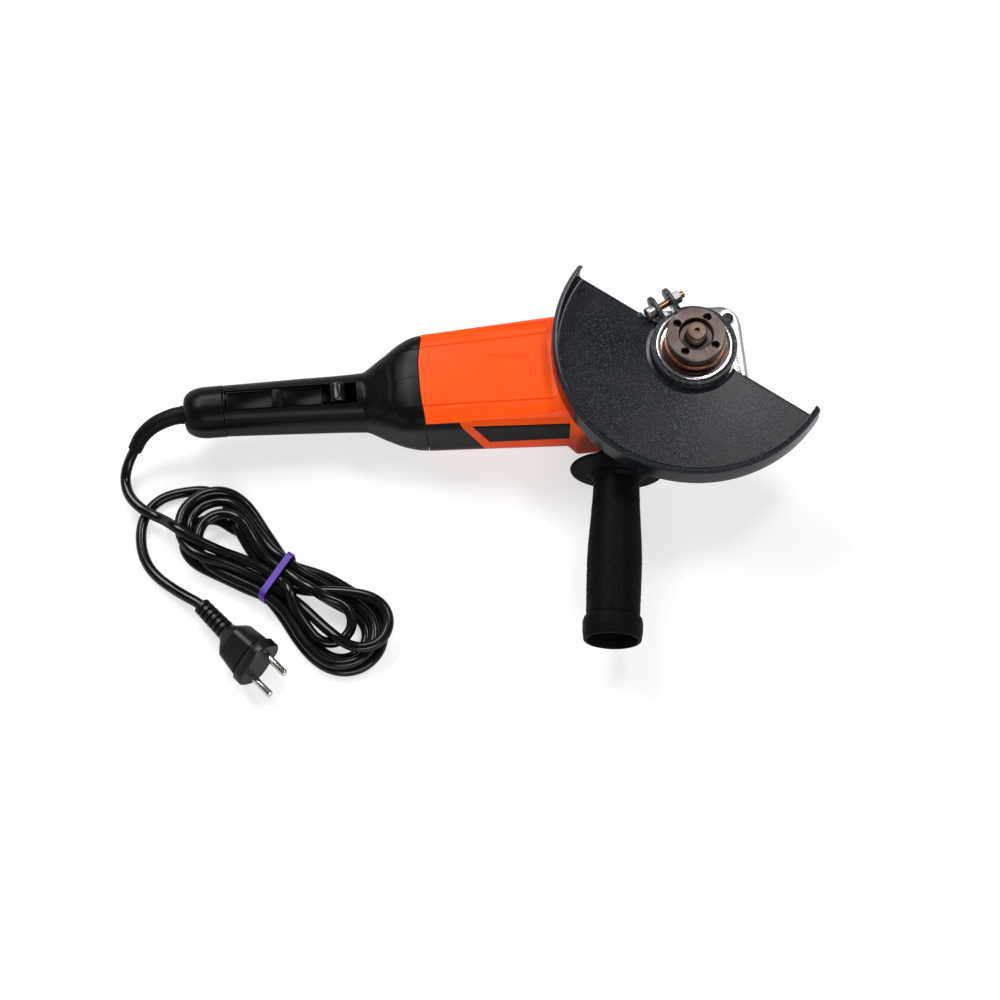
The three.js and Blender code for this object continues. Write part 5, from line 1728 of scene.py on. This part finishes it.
def paddle_strip(name, ends, low, high, half):
    """A block that follows the slope of the paddle's top."""
    start, end = ends
    outline = from_cap((start, paddle_top(start) + low), (end, paddle_top(end) + low),
                       (end, paddle_top(end) + high), (start, paddle_top(start) + high))
    return side_prism(name, outline, -half, half)


def make_paddle():
    outline = rounded(from_cap(
        (2.1, paddle_top(2.1) - 6), (65, paddle_top(65) - 6), (65, 39.5, 0.5), (75, 39.5), (75, 45),
        (68.5, 46.5), (69.4, paddle_top(69), 1.2), (2.1, paddle_top(2.1), 1.2)), 0.8, 5)
    paddle = bevelled(side_prism("paddle_body", outline, -7, 7), 0.5, 3)
    for ends in ((3.2, 33.6), (41.6, 67.8)):
        cut(paddle, bevelled(paddle_strip("panel", ends, -1.2, 4, 6.2), 0.25, 2))
    join(paddle, bevelled(paddle_strip("cross_rib", (34, 41), -2, 1.3, 6.9), 0.7, 3))
    for side in (-1, 1):
        cut(paddle, block("lever_room", (CAP_X + 68.6, CAP_X + 81), (side * 2.9, side * 10), (30, 60)))
    join(paddle, pivot("pivot", PADDLE_PIVOT, -10, 10, 2.5))
    cut(paddle, pivot("lever_hole", LEVER_PIVOT, -5, 5, 1.8))
    fit(paddle, "paddle", "paddle_switch", finish="paddle")


def make_lever():
    x, z = LEVER_PIVOT
    arm = rounded([
        (x - 3.2, z - 1.5), (x + 1.5, z - 3.2), (x + 10, z + 5), (x + 4, z + 11), (x - 3, z + 3)], 1.2, 4)
    drum = turned("lock_drum", [
        (0, 0), (5.2, 0, 0.5), (6, 0.9, 0.7), (6, 2.2, 0.2), (5.7, 2.5, 0.2), (5.7, 11.1, 0.2),
        (6, 11.4, 0.2), (6, 12.7, 0.7), (5.2, 13.6, 0.5), (0, 13.6)], sides=96, axis=(0, 1, 0),
        place=(x + 6.5, -6.8, z + 8.5))
    arms = [bevelled(side_prism("arm", arm, *ends), 0.3, 2) for ends in ((3.3, 6.5), (-6.5, -3.3))]
    join(drum, *arms)
    cut(drum, block("paddle_room", (x - 6, x + 3.4), (-3.3, 3.3), (z - 6, z + 3.2)))
    join(drum, pivot("pin", LEVER_PIVOT, -4, 4, 1.5))
    fit(drum, "lock_lever", "lock_off_lever", finish="gloss")


class GRINDER_OT_switch(bpy.types.Operator):
    """Make the paddle switch and its lock-off lever"""

    bl_idname = "grinder.switch"
    bl_label = "Paddle switch"

    def execute(self, context):
        make_paddle()
        make_lever()
        return {"FINISHED"}


# ---- side handle
GRIP_SIDES = 176
PEBBLE_SIZE = 1.55
HANDLE_PLACE = turning(HANDLE_WAY, handle_point(GAP))


def make_grip():
    end = HANDLE_LENGTH
    collar = rounded([(8, 0), (13.4, 0), (14, 0.6), (14, 8.2, 1.5), (31.4, 10.7, 0.8), (32.5, 12.2, 1.2),
                      (31.8, 13.9, 1), (22, 14.3, 4), (18.2, 15.6, 2), (17.4, 18.6, 1.2), (15.9, 20.4, 1)],
                     0.4, 4, closed=False)
    width = smooth_through((20, 30, 50, 80, 111, 118.4), (15.8, 16.2, 17.4, 18.9, 18.5, 18.2))
    body = [(width(h), h) for h in np.arange(20.8, 118.2, 0.62)]
    tail = rounded([
        (18.2, 118.4), (18, 119.4, 0.3), (19.8, 120, 0.8), (20.5, 123, 3), (20.5, 129, 2), (19.6, end, 1.6),
        (17.2, end, 1), (16.2, end - 4, 1.5), (15.6, 104.5, 1), (8, 102.5, 0.3)], 0.3, 5, closed=False)
    profile = collar + body + tail
    rings = []
    for radius, along in profile + profile[:1]:
        rough = ease(along, 24, 38) * (1 - ease(along, 107, 114)) if radius > 14 and along < 118 else 0.0
        rings.append([HANDLE_PLACE @ Vector((*grip_point(radius, a, along, rough), along))
                      for a in np.linspace(0, 2 * pi, GRIP_SIDES, endpoint=False)])
    grip = loft("side_handle_moulding", rings, False, 0.002)
    fit(grip, "side_handle", "side_handle_grip", finish="grip")


def grip_point(radius, angle, along, rough):
    """A point on the grip, let in between rounded pebbles."""
    x, y = cos(angle), sin(angle)
    if rough > 0:
        cell = Vector((x * radius, y * radius, along)) / PEBBLE_SIZE
        near, second = noise.voronoi(cell)[0][:2]
        radius -= 0.34 * rough * (1 - eased((second - near) / 0.5))
    return x * radius, y * radius


def make_stud():
    stud = turned("stud", [
        (0, -14.5), (5.2, -14.5, 0.3), (5.9, -13.6, 0.3), (5.9, 0), (7.6, 0.6, 0.4), (7.6, 101), (0, 101)],
        fillet=0.2, sides=64)
    threaded(stud, 6.05, 6.0, -13.2, "steel")
    place = HANDLE_PLACE.copy()
    place.translation *= MM
    stud.data.transform(place)
    fit(stud, "side_handle", "side_handle_stud", finish="steel")


class GRINDER_OT_side_handle(bpy.types.Operator):
    """Make the side handle: its pebbled grip and its threaded stud"""

    bl_idname = "grinder.side_handle"
    bl_label = "Side handle"

    def execute(self, context):
        make_grip()
        make_stud()
        return {"FINISHED"}


# ---- inner works
INNER = {
    "steel": ("bevel_pinion", "bevel_gear", "armature_shaft"),
    "ground": ("spindle_ball_bearing", "spindle_needle_bearing", "armature_bearing_front",
               "armature_bearing_rear"),
    "laminations": ("stator_core", "armature_core"),
    "windings": ("field_coil_upper", "field_coil_lower", "armature_winding"),
    "segments": ("commutator",),
    "black": ("cooling_fan", "fan_baffle", "switch_body"),
    "brass": ("brush_holder_right", "brush_holder_left"),
    "carbon": ("carbon_brush_right", "carbon_brush_left"),
    "gloss": ("switch_plunger",),
}


class GRINDER_OT_inner_works(bpy.types.Operator):
    """Give the motor, gears, bearings, brushes and switch their finishes"""

    bl_idname = "grinder.inner_works"
    bl_label = "Inner works"

    def execute(self, context):
        for finish, names in INNER.items():
            for name in names:
                finished(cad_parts[name], finish)
        return {"FINISHED"}


# ---- cord pieces
def make_relief():
    route = [(-345, 0, 38), (-353, 0, 38), (-361, -0.4, 37.6), *LEAD_ROUTE[:4]]
    line = smooth_route(route, 0.7)
    share = np.linspace(0, 1, len(line))
    radii = [6.5 - 1.45 * s for s in share]
    for i, s in enumerate(share):
        if s < 0.2:
            radii[i] = 6.55
        if 0.985 < s:
            radii[i] -= 0.9 * ((s - 0.985) / 0.015) ** 2
    relief = tube_along("strain_relief_sleeve", line, radii, 40)
    fit(relief, "machine", "strain_relief", finish="rubber")


def make_plug():
    place = plug_frame()
    ribs = []
    for x in np.arange(0, 27, 4.5):
        wide = 6.1 + x * 0.03
        ribs += [(x + way, wide - drop, wide - drop, wide - drop) for way, drop in
                 ((0, 0.5), (0.4, 0), (2.9, 0), (3.3, 0.5), (3.35, 1.5), (4.45, 1.5))]
    body = placed("plug_moulding", place, ribs + [
        (27, 6.6, 6.6, 6.6), (30, 8, 7.8, 7.5), (34.5, 12, 10, 6.5), (36, 12.5, 10.4, 6.5),
        (36.6, 13, 11.2, 6.5), (53, 14.8, 12.4, 6.5), (53.6, 14.3, 11.5, 6.5), (54.6, 14.5, 11.5, 6.5),
        (54.6, 17.8, 12.6, 10.4), (55.2, 18.3, 13, 10.8), (61, 18.3, 13, 10.8), (62, 17.4, 12.2, 10)])
    return fit(body, "machine", "plug_body", finish="plug")


def make_pin(number, y):
    place = plug_frame()
    start, end = place @ Vector((58, y, 0)), place @ Vector((81.4, y, 0))
    length = (end - start).length
    pin = turned(f"pin_{number + 1}", [(0, 0), (2.4, 0), (2.4, length, 1.6), (0, length)], fillet=0.4,
                 sides=48, axis=end - start, place=start)
    return fit(pin, "machine", f"plug_pin_{number + 1}", finish="nickel")


def make_tie():
    half, low, high = 19.0, 0.4, 19.4
    outline, inner = (
        rounded([(thick - half, low + thick), (half - thick, low + thick), (half - thick, high - thick),
                 (thick - half, high - thick)], corner, 8) for thick, corner in ((0, 5.0), (1, 4.2)))
    rings = [[hank_point(u, v, z) for v, z in ring]
             for u, ring in ((-2.2, outline), (2.2, outline), (2.2, inner), (-2.2, inner), (-2.2, outline))]
    return fit(loft("cord_tie", rings, False, 0.002), "machine", "hank_tie", finish="tie")


class GRINDER_OT_cord(bpy.types.Operator):
    """Settle the mains cord and make its strain relief, tie, plug and pins"""

    bl_idname = "grinder.cord"
    bl_label = "Cord and plug"

    def execute(self, context):
        line = settled_cord()
        diameter = sizes().cord_diameter
        cord = cord_curve("cord", line, diameter, FINISH["cord"])
        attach(cord, "machine")
        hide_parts("cord_lead", "cord_plug_lead", "cord_hank")
        plug = make_plug()
        pins = [make_pin(i, y) for i, y in enumerate((-9.5, 9.5))]
        tie = make_tie()
        make_relief()
        return {"FINISHED"}


# ---- stage
VIEW_ELEVATION = radians(69)
VIEW_AZIMUTH = radians(-5.3)
VIEW_MIDDLE = Vector((-0.140, -0.0692, 0))


def make_lamp(name, place, size, power, aim):
    lamp = with_settings(bpy.data.lights.new(name, "AREA"), {
        "shape": "RECTANGLE", "size": size[0], "size_y": size[1], "energy": power})
    holder = put(name, lamp)
    holder.location = place
    holder.rotation_euler = (Vector(place) - Vector(aim)).to_track_quat("Z", "Y").to_euler()


def ray_kinds(tree):
    """1 for rays from the camera, and 1 for mirror rays and rays through glass."""
    path = add(tree, "LightPath").outputs
    return path["Is Camera Ray"], maths(tree, "MAXIMUM", path["Is Glossy Ray"], path["Is Transmission Ray"])


def make_world(scene):
    world = bpy.data.worlds.new("studio")
    world.use_nodes = True
    tree = world.node_tree
    tree.nodes.clear()
    camera, mirror = ray_kinds(tree)
    height = add(tree, "SeparateXYZ", Vector=add(tree, "TexCoord").outputs["Generated"])
    wall = maths(tree, "MULTIPLY_ADD", mirror, 0.6, 0.4)  # white where metal mirrors it, softer as a light
    room = ramp(tree, height.outputs["Z"], 0.02, 0.4, wall, 0.09)
    white = add(tree, "Background", Color=(1, 1, 1, 1), Strength=maths(tree, "MAXIMUM", room, camera))
    add(tree, "OutputWorld", Surface=white)
    scene.world = world


def make_floor():
    material = bpy.data.materials.new("floor")
    material.use_nodes = True
    tree = material.node_tree
    tree.nodes.clear()
    paper = add(tree, "BsdfDiffuse", Color=(0.5, 0.5, 0.505, 1))
    place = add(tree, "NewGeometry")
    far = ramp(tree, vector_maths(tree, "LENGTH", place.outputs["Position"]), 0.6, 1.2, 0.6, 1.0)
    camera, mirror = ray_kinds(tree)
    seen = maths(tree, "MAXIMUM", camera, maths(tree, "MULTIPLY", mirror, 0.35))
    lift = add(tree, "Emission", Color=(1, 1, 1, 1), Strength=maths(tree, "MULTIPLY", seen, far))
    both = in_order(tree, add(tree, "AddShader"), (paper, lift))[0]
    clear = add(tree, "BsdfTransparent")
    through = in_order(tree, add(tree, "MixShader"), (place.outputs["Backfacing"], both, clear))[0]
    add(tree, "OutputMaterial", Surface=through)
    half = 4000
    floor = piece_from("floor", [(-half, -half, 0), (half, -half, 0), (half, half, 0), (-half, half, 0)],
                       [(0, 1, 2, 3)])
    floor.data.materials.append(material)


class GRINDER_OT_stage(bpy.types.Operator):
    """Make the white floor, the soft lamps and the camera"""

    bl_idname = "grinder.stage"
    bl_label = "Stage"

    def execute(self, context):
        scene = context.scene
        scene.view_settings.view_transform = "Standard"
        back = Vector((sin(VIEW_AZIMUTH) * cos(VIEW_ELEVATION),
                       -cos(VIEW_AZIMUTH) * cos(VIEW_ELEVATION), sin(VIEW_ELEVATION)))
        camera = put("camera", with_settings(
            bpy.data.cameras.new("camera"), {"lens": 86.4, "sensor_width": 36}))
        camera.location = VIEW_MIDDLE + back * sizes().camera_distance
        camera.rotation_euler = back.to_track_quat("Z", "Y").to_euler()
        scene.camera = camera

        make_floor()
        make_world(scene)
        for name, place, size, power, aim in (
                ("key_lamp", (-0.65, 0.75, 1.2), (1.0, 0.5), 17.5, (-0.15, -0.02, 0.03)),
                ("front_lamp", (0.1, -1.25, 0.85), (1.4, 0.5), 13.0, (-0.1, -0.05, 0.03)),
                ("nose_lamp", (0.34, 0.32, 1.2), (0.26, 0.26), 4.6, (0.0, 0.0, 0.05))):
            make_lamp(name, place, size, power, aim)
        return {"FINISHED"}


# ---- panel and run
class GRINDER_PT_panel(bpy.types.Panel):
    """Colours, sizes and the steps that build the grinder"""

    bl_label = "Angle Grinder"
    bl_idname = "GRINDER_PT_panel"
    bl_space_type = "VIEW_3D"
    bl_region_type = "UI"
    bl_category = "Grinder"

    def draw(self, context):
        for settings in (context.scene.grinder_colours, context.scene.grinder_sizes):
            column = self.layout.column(align=True)
            for name in settings.bl_rna.properties.keys():
                if name not in ("rna_type", "name"):
                    column.prop(settings, name)
        for step in STEPS:
            self.layout.operator(step.bl_idname)


STEPS = (GRINDER_OT_stage, GRINDER_OT_cord, GRINDER_OT_gear_head, GRINDER_OT_spindle, GRINDER_OT_guard,
         GRINDER_OT_motor_housing, GRINDER_OT_rear_handle, GRINDER_OT_switch, GRINDER_OT_side_handle,
         GRINDER_OT_inner_works)
CLASSES = (GrinderColours, GrinderSizes, *STEPS, GRINDER_PT_panel)
FINISH = {}


def register():
    for item in CLASSES:
        bpy.utils.register_class(item)
    bpy.types.Scene.grinder_colours = PointerProperty(type=GrinderColours)
    bpy.types.Scene.grinder_sizes = PointerProperty(type=GrinderSizes)


def unregister():
    del bpy.types.Scene.grinder_sizes
    del bpy.types.Scene.grinder_colours
    for item in reversed(CLASSES):
        bpy.utils.unregister_class(item)


def main():
    register()
    FINISH.update(make_finishes())
    for step in STEPS:
        area, name = step.bl_idname.split(".")
        getattr(getattr(bpy.ops, area), name)()


if __name__ == "__main__":
    main()
